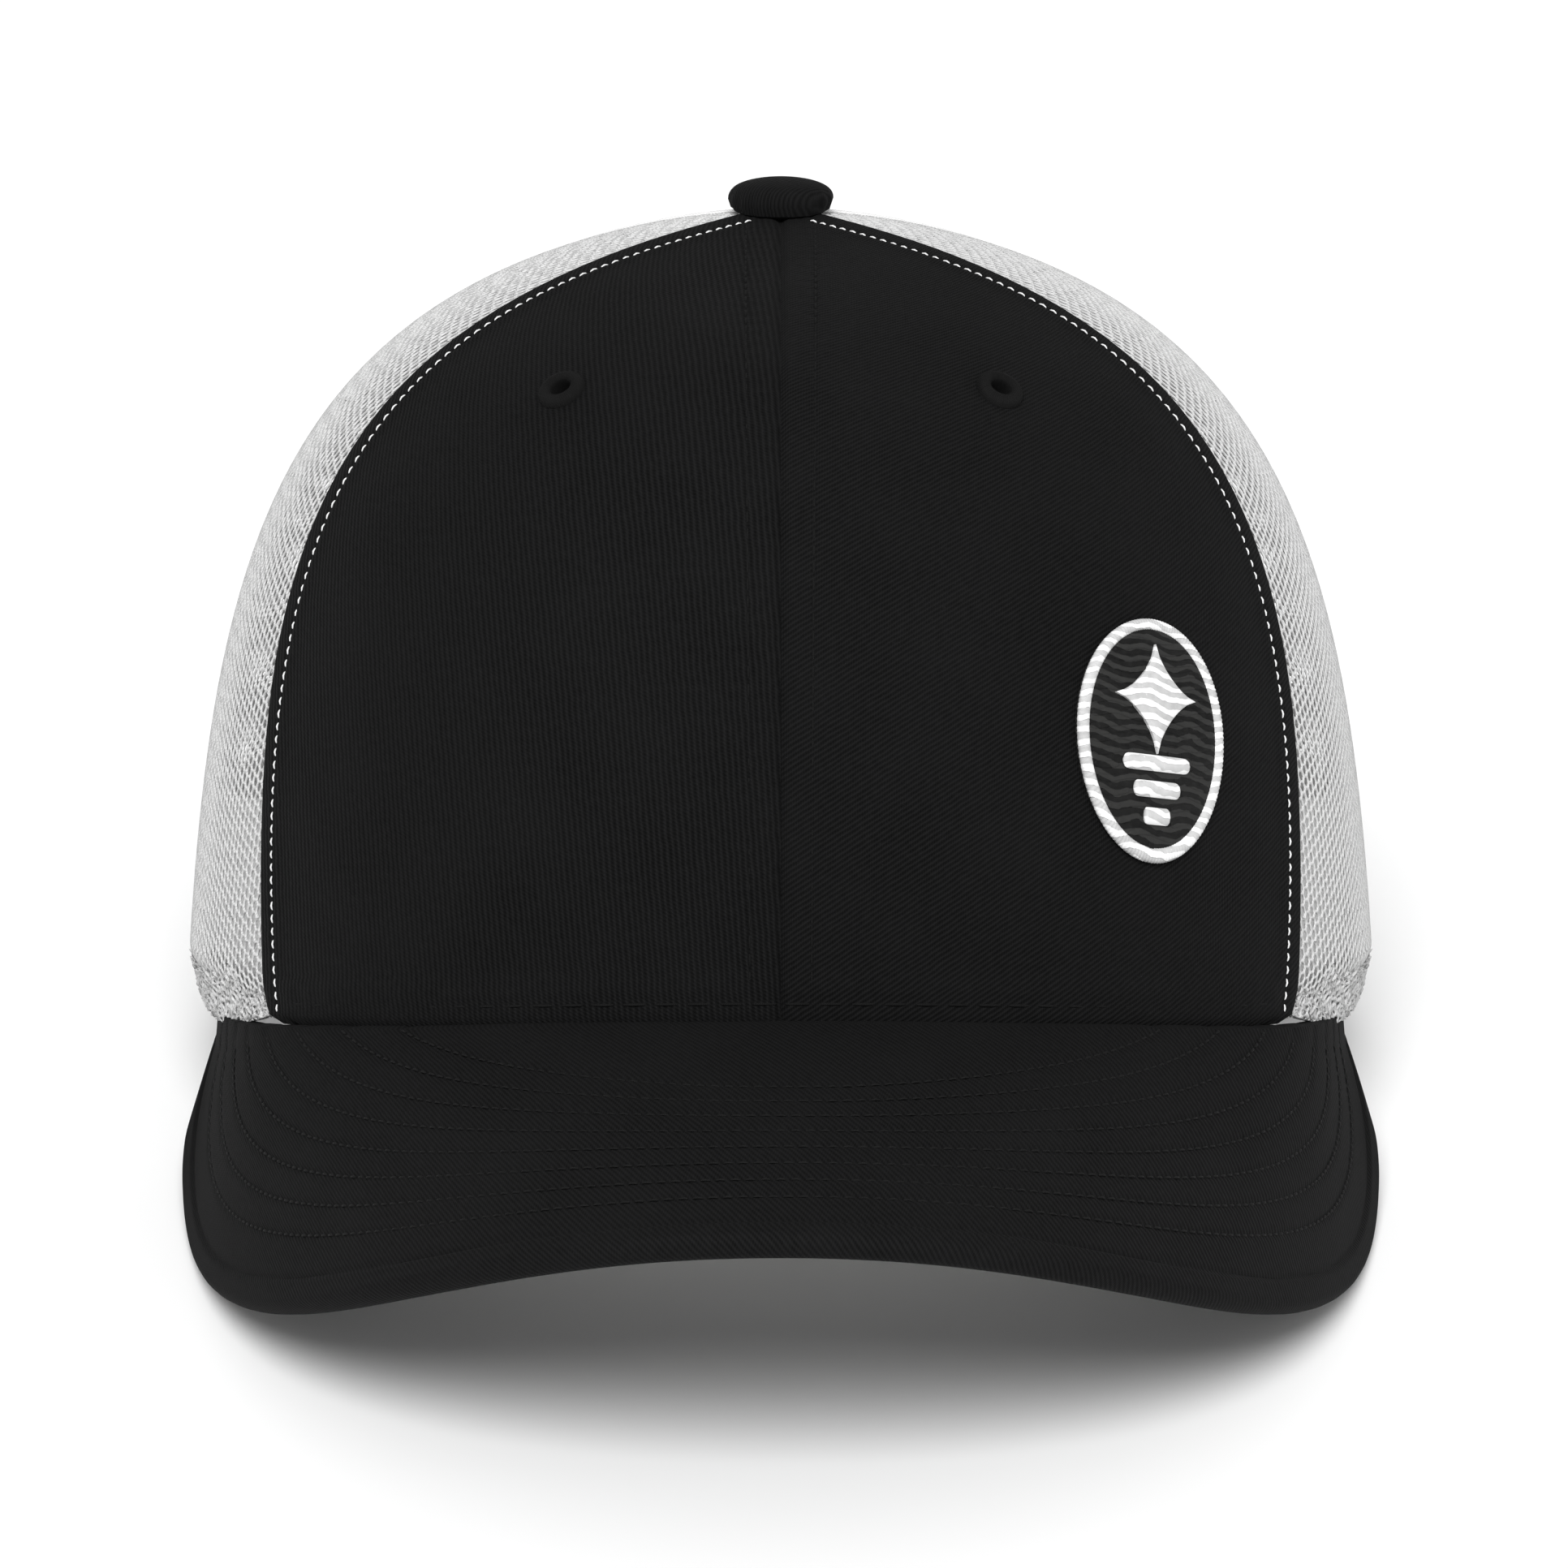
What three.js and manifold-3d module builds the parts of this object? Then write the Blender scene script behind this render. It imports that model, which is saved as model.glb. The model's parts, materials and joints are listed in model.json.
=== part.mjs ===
// A trucker mesh cap: two stiffened twill front panels, four open-mesh side and back panels,
// a curved visor, a covered top button, and a plastic snap closure in the arch at the back.
//
// Millimetres, +Z up, the wearer's front towards -Y, so the wearer's left is +X.
// The crown is drawn level, with its hem near z = 0, and then tipped back by REST_TILT:
// a cap put down on a flat surface stands on the low sides of its visor and on its back rim.
import * as THREE from 'three';
import { mergeVertices } from 'three/addons/utils/BufferGeometryUtils.js';
import Module from 'manifold-3d';

const wasm = await Module();
wasm.setup();

const DEG = Math.PI / 180;

// ---------------------------------------------------------------- driving dimensions

const CROWN = {
  halfWidth: 90.3,     // widest half width, just above the side hem
  frontReach: 97,      // hem to the crown's centre at the front
  backReach: 96,       // and at the back
  frontLift: 11.2,     // how far the hem rises at centre front, where the visor is sewn on
  height: 117.4,       // hem level to the apex
  apexY: 2,            // the apex lies this far behind the crown's centre
};

// Each spine is a cubic curve from the hem to the apex: a handle's length and its lean inwards
// at the hem, then a handle's length and its slope at the apex.
const SPINES = {
  front: { hemHandle: 92, hemLean: 8, apexHandle: 68, apexSlope: 12 },
  side: { hemHandle: 68, hemLean: 3.6, apexHandle: 76.5, apexSlope: 4.3 },
  back: { hemHandle: 66, hemLean: 0, apexHandle: 74, apexSlope: 1.5 },
};

const HEM_TUCK = { depth: 4.2, top: 0.035, from: 50, full: 80, fade: 95, gone: 122 };

const SEAMS = {
  frontSideAtHem: 55.3,    // azimuth of the front-to-side seam at the hem
  frontSideAtApex: 42,
  frontSideBow: 42.5,      // how strongly the seam bows back between the two
  sideBack: 121,           // azimuth of the side-to-back seam
  gap: 0.4,                // space left between neighbouring panels
  apexHole: 3.2,           // radius of the hole that the button's tack goes through
};

// Layers of the crown, as distances along the outward normal: [outer face, inner face].
const LAYERS = {
  panel: [0, -0.9],
  buckram: [-1.2, -2.2],
  mesh: [0, -0.8],
  frontTape: [-2.6, -3.2],
  meshTape: [-1.3, -1.9],
  strapTab: [-2.4, -3.1],
  sweatband: [-3.5, -4.9],
  label: [-5.7, -6.0],
};

const TAPE = { halfWidth: 6, apexRadius: 18 };
const SWEATBAND = { bottom: 0.6, height: 32 };
const ARCH = {
  halfWidth: 50,        // half the width of the arch at the hem, measured round the back
  height: 55,
  squareness: 2.6,      // exponent of the arch's outline, 2 is an ellipse
  trim: 0.25,           // the mesh is cut back this far from the binding's fold
  bindingWidth: 9,
  bindingThickness: 0.6,
  foldGap: 0.45,
};

const EYELET = { azimuth: 27.7, level: 0.559, bore: 1.5, flange: 3.4, panelHole: 2.1 };
const BADGE = { azimuth: 37.5, level: 0.197, halfWidth: 13.8, halfHeight: 17.4, faces: [1.1, 0.3] };
const BUTTON = { radius: 7.85, height: 4.6, wall: 0.6, seat: 0.3, shaft: 1.2, washer: 5 };

const VISOR = {
  seamAngle: 78,        // the visor is sewn on from -78 to +78 degrees of azimuth
  tuckFrom: 42,         // from this azimuth on, its ends pass in under the hem
  seamGap: 1.5,         // clearance from the crown's wall, so that the visor can flex
  endGap: -1.2,
  seamDrop: 1.2,        // its mid surface lies this far below the hem line
  endDrop: 4.4,
  edgeAngle: 87.8,      // the outer edge ends at this angle of its outline
  outerHalfWidth: 87.25,
  outerReach: 144.85,   // from the sewn ends to the front edge
  endHalfWidth: 82.65,
  endPull: 30,          // length over which the outline curves in to the sewn ends
  roundness: 2.14,      // exponent of the plan outline, 2 is an ellipse
  frontZ: -5.2,         // height of the front edge at the centre
  endZ: -1,             // height that the edge would reach at 90 degrees of its outline
  sideDrop: 95.3,       // how far the sides are bent down
  cornerDrop: 45.7,     // extra bend close to the sewn ends
  arch: 1.5,            // rise of the mid surface between seam and edge
  shortest: 12,         // seam-to-edge length below which the edge allowance shrinks
};
const VISOR_LAYERS = { top: [1.7, 1.1], board: [0.6, -0.6], under: [-1.1, -1.7] };

const STRAP = {
  width: 19,
  bottom: 3.5,          // height of the lower edge above the hem
  thickness: 1.3,
  root: 46.4,           // the free strap starts this far round from centre back
  tabEnd: 61,
  pitch: 9,
  count: 7,             // snaps on each strap
  engaged: 4,
  tipMargin: 6,
  holeRadius: 2.8,
  pegBase: 2.3,
  pegTop: 1.9,
  pegHeight: 1.7,
  outerFace: -0.25,     // outer face of the strap with holes, over the overlap
  innerFace: -2.0,      // outer face of the strap with pegs
  rootFace: -3.0,       // outer face of both straps at their roots
  rampStart: 3.5,       // distances from the root over which the strap changes faces
  rampEnd: 17,
};

const REST_TILT = 10.7;   // degrees

const ARC_PER_RADIAN = 91;   // mm of hem per radian of azimuth at the back

// ---------------------------------------------------------------- small helpers

const smooth = (low, high, x) => THREE.MathUtils.smoothstep(x, low, high);
const lerp = THREE.MathUtils.lerp;

/** Numbers from low to high in equal steps, both ends included. */
function steps(low, high, count) {
  return Array.from({ length: count + 1 }, (_, i) => lerp(low, high, i / count));
}

/** Six times the signed volume of an indexed mesh, positive when its faces point out. */
function signedVolume(positions, index) {
  const a = new THREE.Vector3();
  const b = new THREE.Vector3();
  const c = new THREE.Vector3();
  let total = 0;
  for (let i = 0; i < index.length; i += 3) {
    a.fromArray(positions, 3 * index[i]);
    b.fromArray(positions, 3 * index[i + 1]);
    c.fromArray(positions, 3 * index[i + 2]);
    total += a.dot(b.cross(c));
  }
  return total;
}

/** Closed solid between two equal grids of points, outer[row][column] and inner[row][column]. */
function solidBetween(outer, inner) {
  const rows = outer.length;
  const cols = outer[0].length;
  const positions = [...outer.flat(), ...inner.flat()].flatMap((p) => [p.x, p.y, p.z]);
  const index = [];
  const at = (side, row, col) => side * rows * cols + row * cols + col;
  const quad = (a, b, c, d) => index.push(a, b, c, a, c, d);
  for (let r = 0; r + 1 < rows; r += 1) {
    for (let c = 0; c + 1 < cols; c += 1) {
      quad(at(0, r, c), at(0, r, c + 1), at(0, r + 1, c + 1), at(0, r + 1, c));
      quad(at(1, r, c), at(1, r + 1, c), at(1, r + 1, c + 1), at(1, r, c + 1));
    }
  }
  for (let c = 0; c + 1 < cols; c += 1) {
    quad(at(0, 0, c), at(1, 0, c), at(1, 0, c + 1), at(0, 0, c + 1));
    quad(at(0, rows - 1, c), at(0, rows - 1, c + 1), at(1, rows - 1, c + 1), at(1, rows - 1, c));
  }
  for (let r = 0; r + 1 < rows; r += 1) {
    quad(at(0, r, 0), at(0, r + 1, 0), at(1, r + 1, 0), at(1, r, 0));
    quad(at(0, r, cols - 1), at(1, r, cols - 1), at(1, r + 1, cols - 1), at(0, r + 1, cols - 1));
  }
  if (signedVolume(positions, index) < 0) index.reverse();
  const geometry = new THREE.BufferGeometry();
  geometry.setAttribute('position', new THREE.Float32BufferAttribute(positions, 3));
  geometry.setIndex(index);
  geometry.computeVertexNormals();
  return geometry;
}

/** Solid of revolution about +Z from a closed profile of [radius, height] points. */
function turned(profile, segments) {
  const points = profile.map(([radius, height]) => new THREE.Vector2(radius, height));
  const geometry = new THREE.LatheGeometry(points, segments);
  geometry.rotateX(Math.PI / 2);
  return outwardFacing(geometry);
}

/** The same mesh with shared vertices merged and its faces pointing out. */
function outwardFacing(source) {
  const bare = new THREE.BufferGeometry();
  bare.setAttribute('position', source.getAttribute('position').clone());
  bare.setIndex(source.index ? source.index.clone() : null);
  const merged = mergeVertices(bare, 1e-4);
  const index = Array.from(merged.index.array);
  const kept = [];
  for (let i = 0; i < index.length; i += 3) {
    const [a, b, c] = index.slice(i, i + 3);
    if (a !== b && b !== c && c !== a) kept.push(a, b, c);
  }
  if (signedVolume(merged.getAttribute('position').array, kept) < 0) kept.reverse();
  merged.setIndex(kept);
  merged.computeVertexNormals();
  return merged;
}

/** A mesh as a solid that can be joined and cut. */
function toSolid(geometry) {
  const clean = outwardFacing(geometry);
  const mesh = new wasm.Mesh({
    numProp: 3,
    vertProperties: new Float32Array(clean.getAttribute('position').array),
    triVerts: new Uint32Array(clean.index.array),
  });
  return new wasm.Manifold(mesh);
}

/** A joined or cut solid back as a mesh. */
function fromSolid(solid) {
  const mesh = solid.getMesh();
  const geometry = new THREE.BufferGeometry();
  geometry.setAttribute('position', new THREE.Float32BufferAttribute(mesh.vertProperties, 3));
  geometry.setIndex(Array.from(mesh.triVerts));
  geometry.computeVertexNormals();
  return geometry;
}

/** Turns a shape drawn about +Z so that it stands on `place` and points along `direction`. */
function stoodOn(geometry, place, direction) {
  const turn = new THREE.Quaternion().setFromUnitVectors(new THREE.Vector3(0, 0, 1), direction);
  return geometry.clone().applyQuaternion(turn).translate(place.x, place.y, place.z);
}

// ---------------------------------------------------------------- the crown's surface

/** Cubic spine in its own plane: `reach` outwards and height, from the hem to the apex. */
function spine({ hemHandle, hemLean, apexHandle, apexSlope }, reach, hemHeight) {
  return new THREE.CubicBezierCurve(
    new THREE.Vector2(reach, hemHeight),
    new THREE.Vector2(
      reach - hemHandle * Math.sin(hemLean * DEG),
      hemHeight + hemHandle * Math.cos(hemLean * DEG),
    ),
    new THREE.Vector2(
      apexHandle * Math.cos(apexSlope * DEG),
      CROWN.height - apexHandle * Math.sin(apexSlope * DEG),
    ),
    new THREE.Vector2(0, CROWN.height),
  );
}

const FRONT = spine(SPINES.front, CROWN.frontReach + CROWN.apexY, CROWN.frontLift);
const SIDE = spine(SPINES.side, CROWN.halfWidth, 0);
const BACK = spine(SPINES.back, CROWN.backReach - CROWN.apexY, 0);

/** How far the hem is gathered in at azimuth u and level t. */
function hemTuck(u, t) {
  const azimuth = Math.abs(u) / DEG;
  const around = smooth(HEM_TUCK.from, HEM_TUCK.full, azimuth)
    * (1 - smooth(HEM_TUCK.fade, HEM_TUCK.gone, azimuth));
  return HEM_TUCK.depth * around * (1 - smooth(0, HEM_TUCK.top, t));
}

/** Point of the outer surface: azimuth u from centre front, level t from hem (0) to apex (1). */
function crownPoint(u, t) {
  const cos = Math.cos(u);
  const sin = Math.sin(u);
  const side = SIDE.getPoint(t);
  const ahead = (cos > 0 ? FRONT : BACK).getPoint(t);
  const axisY = CROWN.apexY * smooth(0, 1, t);
  const lean = cos > 0 ? CROWN.apexY - axisY : axisY - CROWN.apexY;
  const reach = ahead.x - lean;
  const tuck = hemTuck(u, t);
  const shrink = 1 - tuck / CROWN.halfWidth;
  return new THREE.Vector3(
    side.x * sin * shrink,
    axisY - reach * cos * shrink,
    ahead.y * cos * cos + side.y * sin * sin,
  );
}

/** Outward normal of the crown at (u, t). */
function crownNormal(u, t) {
  const du = 1e-3;
  const dt = 1e-3;
  const low = Math.max(t - dt, 0);
  const high = Math.min(t + dt, 0.999);
  const across = crownPoint(u + du, t).sub(crownPoint(u - du, t));
  const up = crownPoint(u, high).sub(crownPoint(u, low));
  return across.cross(up).normalize();
}

/** Point at (u, t), moved along the normal by `offset`. */
function onCrown(u, t, offset) {
  return crownPoint(u, t).addScaledVector(crownNormal(u, t), offset);
}

/** Horizontal distance from the crown's axis at (u, t). */
function radiusAt(u, t) {
  const point = crownPoint(u, t);
  return Math.hypot(point.x, point.y - CROWN.apexY * smooth(0, 1, t));
}

/** Level t at which azimuth u is `radius` from the crown's axis. */
function levelAtRadius(u, radius) {
  let low = 0.5;
  let high = 1;
  for (let i = 0; i < 40; i += 1) {
    const middle = (low + high) / 2;
    if (radiusAt(u, middle) > radius) low = middle;
    else high = middle;
  }
  return low;
}

/** Level t at the height `arc`, measured along the surface from the hem. */
function levelAtArc(u, arc) {
  let t = 0;
  let walked = 0;
  const step = 0.002;
  while (walked < arc) {
    const piece = crownPoint(u, t + step).distanceTo(crownPoint(u, t));
    if (walked + piece > arc) return t + step * (arc - walked) / piece;
    walked += piece;
    t += step;
  }
  return t;
}

// ---------------------------------------------------------------- seams and panels

const frontCentre = () => 0;
const backCentre = () => Math.PI;
const sideBack = () => SEAMS.sideBack * DEG;
const frontSide = (t) => DEG * (
  lerp(SEAMS.frontSideAtHem, SEAMS.frontSideAtApex, t) + SEAMS.frontSideBow * t * (1 - t));

/** Azimuth that lies `distance` (mm) beyond a seam at level t. */
function beside(seam, t, distance) {
  const u = seam(t);
  return u + distance / radiusAt(u, t);
}

/** Panel between two seams, from level bottom(u) to the apex hole, on the wearer's left or right. */
function gore({ from, to, layer, mirror, cols, rows, inset = SEAMS.gap / 2, bottom = 0 }) {
  const grid = (offset) => steps(0, 1, rows).map((rise) => steps(0, 1, cols).map((across) => {
    const top = levelAtRadius(lerp(from(1), to(1), across), SEAMS.apexHole);
    const t = lerp(bottom, top, rise);
    const u = lerp(beside(from, t, inset), beside(to, t, -inset), across);
    return onCrown(mirror * u, t, offset);
  }));
  return solidBetween(grid(layer[0]), grid(layer[1]));
}

const ARCH_STEPS = 9;
const archAzimuth = (arc) => Math.PI - arc / ARC_PER_RADIAN;

/** Point `beyond` mm outside the arch's edge: [distance round from centre back, height]. */
function archPoint(angle, beyond) {
  const cos = Math.cos(angle * DEG);
  const sin = Math.sin(angle * DEG);
  const power = 2 / ARCH.squareness;
  return [
    (ARCH.halfWidth + beyond) * Math.sign(cos) * Math.abs(cos) ** power,
    (ARCH.height + beyond) * Math.abs(sin) ** power,
  ];
}

/** Half of the back: from the side-to-back seam to centre back, cut away by the arch. */
function backPanel(mirror, rows) {
  const footAzimuth = archAzimuth(ARCH.halfWidth + ARCH.trim);
  const plain = steps(sideBack(), footAzimuth, 4).slice(0, -1).map((u) => ({ u, foot: 0 }));
  const arched = steps(0, 90, ARCH_STEPS).map((angle) => {
    const [arc, foot] = archPoint(angle, ARCH.trim);
    return { u: archAzimuth(arc), foot };
  });
  const columns = [...plain, ...arched].map(({ u, foot }) => ({
    u, bottom: levelAtArc(u, foot), top: levelAtRadius(u, SEAMS.apexHole),
  }));
  const grid = (offset) => steps(0, 1, rows).map((rise) => columns.map(({ u, bottom, top }) => {
    const t = lerp(bottom, top, rise);
    const edge = SEAMS.gap / 2 / radiusAt(u, t);
    const kept = THREE.MathUtils.clamp(u, sideBack() + edge, Math.PI - edge);
    return onCrown(mirror * kept, t, offset);
  }));
  return solidBetween(grid(LAYERS.mesh[0]), grid(LAYERS.mesh[1]));
}

/** Tape that covers a seam inside the crown, from the sweatband or the arch up to the apex. */
function seamTape(seam, layer, mirror, startArc, rows = 12) {
  const startLevel = levelAtArc(seam(0.1), startArc);
  const endLevel = levelAtRadius(seam(1), TAPE.apexRadius);
  const grid = (offset) => steps(startLevel, endLevel, rows).map((t) => [-1, 0, 1].map((side) => (
    onCrown(mirror * beside(seam, t, side * TAPE.halfWidth), t, offset))));
  return solidBetween(grid(layer[0]), grid(layer[1]));
}

/** Band inside the hem, from one foot of the arch round the front to the other. */
function sweatband() {
  const end = archAzimuth(ARCH.halfWidth + 1);
  const azimuths = steps(-end, end, 44);
  const grid = (offset) => [0, 0.25, 1].map((rise) => azimuths.map((u) => {
    const t = levelAtArc(u, SWEATBAND.bottom + rise * SWEATBAND.height);
    return onCrown(u, t, offset);
  }));
  return solidBetween(grid(LAYERS.sweatband[0]), grid(LAYERS.sweatband[1]));
}

/** Folded binding round the arch: a strip in a U over the mesh's cut edge. */
function archBinding() {
  const { foldGap: gap, bindingThickness: cloth, bindingWidth: wide } = ARCH;
  const out = gap + cloth;
  const inside = LAYERS.mesh[1] - 0.7;
  const outerProfile = [[wide, out], [-out, out], [-out, inside - cloth], [wide, inside - cloth]];
  const innerProfile = [[wide, gap], [-gap, gap], [-gap, inside], [wide, inside]];
  const grid = (profile) => steps(0, 180, 2 * ARCH_STEPS).map((angle) => profile.map(([w, off]) => {
    const [arc, height] = archPoint(angle, w);
    const u = archAzimuth(arc);
    return onCrown(u, levelAtArc(u, height), off);
  }));
  return solidBetween(grid(outerProfile), grid(innerProfile));
}

// ---------------------------------------------------------------- trim on the crown

/** Cuts the eyelet's hole through a front layer. */
function withEyeletHole(geometry, mirror) {
  const u = mirror * EYELET.azimuth * DEG;
  const drill = new THREE.CylinderGeometry(EYELET.panelHole, EYELET.panelHole, 12, 12);
  drill.rotateX(Math.PI / 2);
  const placed = stoodOn(drill, crownPoint(u, EYELET.level), crownNormal(u, EYELET.level));
  return fromSolid(toSolid(geometry).subtract(toSolid(placed)));
}

/** Stitched eyelet: a flange outside and a short tube through the panel. */
function eyelet(mirror) {
  const u = mirror * EYELET.azimuth * DEG;
  const tube = EYELET.bore + 0.3;
  const shape = turned([
    [EYELET.bore, -2.5], [tube, -2.5], [tube, 0.35], [EYELET.flange, 0.35],
    [EYELET.flange - 0.4, 0.85], [EYELET.bore + 0.4, 0.95], [EYELET.bore, 0.6], [EYELET.bore, -2.5],
  ], 16);
  return stoodOn(shape, crownPoint(u, EYELET.level), crownNormal(u, EYELET.level));
}

/** Flat piece laid on the crown about (u, t): `half` sizes in mm, `outline` maps a square to it. */
function laidPatch({ azimuth, level, halfWidth, halfHeight, faces, outline, divisions = 8 }) {
  const u = azimuth * DEG;
  const step = 1e-3;
  const alongU = crownPoint(u + step, level).sub(crownPoint(u, level)).divideScalar(step);
  const alongT = crownPoint(u, level + step).sub(crownPoint(u, level)).divideScalar(step);
  const normal = crownNormal(u, level);
  const up = normal.clone().cross(new THREE.Vector3(1, 0, 0)).normalize();
  if (Math.abs(normal.x) > 0.9) up.set(0, 0, 1).projectOnPlane(normal).normalize();
  const right = up.clone().cross(normal);
  const [a, b, c, d] = [alongU.dot(right), alongT.dot(right), alongU.dot(up), alongT.dot(up)];
  const det = a * d - b * c;
  const grid = (offset) => steps(-1, 1, divisions).map((q) => steps(-1, 1, divisions).map((p) => {
    const [x, y] = outline(p, q);
    const dx = x * halfWidth;
    const dy = y * halfHeight;
    return onCrown(u + (d * dx - b * dy) / det, level + (a * dy - c * dx) / det, offset);
  }));
  return solidBetween(grid(faces[0]), grid(faces[1]));
}

const rectangle = (p, q) => [p, q];
const oval = (p, q) => [p * Math.sqrt(1 - q * q / 2), q * Math.sqrt(1 - p * p / 2)];

/** Dome profile points from the axis out to the rim, for a cap of the given size. */
function dome(radius, rim, top) {
  return steps(90, 0, 4).map((angle) => [
    radius * Math.cos(angle * DEG),
    rim + (top - rim) * Math.sin(angle * DEG) ** 0.8,
  ]);
}

const apex = () => new THREE.Vector3(0, CROWN.apexY, CROWN.height);
const upright = () => new THREE.Vector3(0, 0, 1);

/** Fabric cover of the button: a dome whose edge is turned in underneath. */
function buttonCover() {
  const { radius, height, wall, seat } = BUTTON;
  const profile = [
    ...dome(radius, 1.6, height),
    [radius - 0.5, seat], [radius - 2.6, seat], [radius - 2.6, seat + wall],
    ...dome(radius - wall, 1.6, height - wall).reverse(),
  ];
  return stoodOn(turned(profile, 16), apex(), upright());
}

/** Metal shell that the cover is stretched over. */
function buttonShell() {
  const { radius, height, wall } = BUTTON;
  const outer = radius - wall - 0.35;
  const profile = [
    ...dome(outer, 1.9, height - wall - 0.35),
    ...dome(outer - 0.5, 1.9, height - wall - 0.85).reverse(),
  ];
  return stoodOn(turned(profile, 16), apex(), upright());
}

/** Tack under the button: a shaft through the apex and a flat washer inside the crown. */
function buttonTack() {
  const { shaft, washer, height } = BUTTON;
  const profile = [
    [0, height - 1.8], [shaft, height - 1.8], [shaft, -3.8],
    [washer, -3.8], [washer, -4.8], [0, -4.8],
  ];
  return stoodOn(turned(profile, 16), apex(), upright());
}

// ---------------------------------------------------------------- the visor

/** The visor's inner edge at s, from -1 (wearer's right end) to +1 (left end). */
function visorSeam(s) {
  const azimuth = s * VISOR.seamAngle;
  const u = azimuth * DEG;
  const aside = smooth(VISOR.tuckFrom, VISOR.seamAngle, Math.abs(azimuth));
  const outwards = crownNormal(u, 0.02).setZ(0).normalize();
  const point = crownPoint(u, 0).addScaledVector(outwards, lerp(VISOR.seamGap, VISOR.endGap, aside));
  point.z -= lerp(VISOR.seamDrop, VISOR.endDrop, aside);
  return point;
}

/** The visor's outer edge at s, on its mid surface. */
function visorEdge(s) {
  const { roundness, outerHalfWidth, outerReach, endHalfWidth, endPull, edgeAngle } = VISOR;
  const angle = Math.abs(s) * edgeAngle * DEG;
  const endY = visorSeam(1).y;
  const y = endY - outerReach * Math.cos(angle) ** (2 / roundness);
  const pull = Math.max(0, 1 - (endY - y) / endPull) ** 2;
  const x = outerHalfWidth * Math.sin(angle) ** (2 / roundness)
    - (outerHalfWidth - endHalfWidth) * pull;
  const q = (s * edgeAngle / 90) ** 2;
  const z = lerp(VISOR.frontZ, VISOR.endZ, q)
    - VISOR.sideDrop * q * (1 - q) - VISOR.cornerDrop * q ** 4 * (1 - q);
  return new THREE.Vector3(Math.sign(s) * x, y, z);
}

/** Mid surface of the visor: s across, v from the seam (0) to the edge (1). */
function visorPoint(s, v) {
  const point = visorSeam(s).lerp(visorEdge(s), v);
  point.z += VISOR.arch * 4 * v * (1 - v) * (1 - s * s);
  return point;
}

function visorNormal(s, v) {
  const step = 1e-3;
  const across = visorPoint(s + step, v).sub(visorPoint(s - step, v));
  const out = visorPoint(s, v + step).sub(visorPoint(s, v - step));
  return out.cross(across).normalize();
}

/** One layer of the visor; `edge` is how far it reaches past (+) or short of (-) the edge line. */
function visorLayer(faces, edge, end) {
  const across = steps(-1, 1, 24).map((s) => THREE.MathUtils.clamp(s, -end, end));
  const outwards = steps(0, 1, 5);
  const grid = (offset) => outwards.map((v) => across.map((s) => {
    const length = visorSeam(s).distanceTo(visorEdge(s));
    const reach = v < 1 ? v : 1 + edge / Math.max(length, VISOR.shortest);
    return visorPoint(s, reach).addScaledVector(visorNormal(s, reach), offset);
  }));
  return solidBetween(grid(faces[0]), grid(faces[1]));
}

// ---------------------------------------------------------------- the snap closure

/** Point of a strap: `arc` round from centre back, height z, `offset` from the crown's wall. */
function strapPoint(arc, z, offset) {
  const u = archAzimuth(arc);
  const wall = crownPoint(u, 0);
  const outwards = crownNormal(u, 0.05).setZ(0).normalize();
  return wall.addScaledVector(outwards, offset).setZ(z);
}

/** Offset of a strap's outer face `arc` round from centre back: root face, then running face. */
function strapFace(arc, side, running) {
  const past = STRAP.root - side * arc;
  return lerp(STRAP.rootFace, running, smooth(STRAP.rampStart, STRAP.rampEnd, past));
}

const firstSnap = STRAP.pitch * (STRAP.engaged - 1) / 2;
const strapTip = firstSnap + STRAP.tipMargin;

/** Plain strap from its root on one side (+1 wearer's left) past centre back, tip rounded. */
function strapBlank(side, running) {
  const length = STRAP.root + strapTip;
  const half = STRAP.width / 2;
  const middle = STRAP.bottom + half;
  const along = [...steps(0, length - half, 16), ...[0.5, 0.8, 0.95, 1].map(
    (part) => length - half + half * part)];
  const grid = (depth) => [-1, 0, 1].map((row) => along.map((distance) => {
    const past = Math.max(0, distance - (length - half)) / half;
    const reach = half * Math.sqrt(Math.max(1 - past * past, 0.02));
    const arc = side * (STRAP.root - distance);
    return strapPoint(arc, middle + row * reach, strapFace(arc, side, running) - depth);
  }));
  return solidBetween(grid(0), grid(STRAP.thickness));
}

/** Places of a strap's snaps, as arcs from centre back. */
function snapArcs(side) {
  return Array.from({ length: STRAP.count }, (_, i) => side * (i * STRAP.pitch - firstSnap));
}

/** Round tool or peg at a snap, pointing outwards. */
function atSnap(arc, geometry, offset) {
  const outwards = crownNormal(archAzimuth(arc), 0.05).setZ(0).normalize();
  return stoodOn(geometry, strapPoint(arc, STRAP.bottom + STRAP.width / 2, offset), outwards);
}

function holeStrap() {
  let solid = toSolid(strapBlank(1, STRAP.outerFace));
  for (const arc of snapArcs(1)) {
    const drill = new THREE.CylinderGeometry(STRAP.holeRadius, STRAP.holeRadius, 8, 12);
    drill.rotateX(Math.PI / 2);
    solid = solid.subtract(toSolid(atSnap(arc, drill, -1.5)));
  }
  return fromSolid(solid);
}

function pegStrap() {
  let solid = toSolid(strapBlank(-1, STRAP.innerFace));
  const root = STRAP.thickness / 2;
  for (const arc of snapArcs(-1)) {
    const peg = turned([
      [0, -root], [STRAP.pegBase, -root], [STRAP.pegBase, 0],
      [STRAP.pegTop, STRAP.pegHeight], [0, STRAP.pegHeight],
    ], 10);
    solid = solid.add(toSolid(atSnap(arc, peg, strapFace(arc, -1, STRAP.innerFace))));
  }
  return fromSolid(solid);
}

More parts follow.
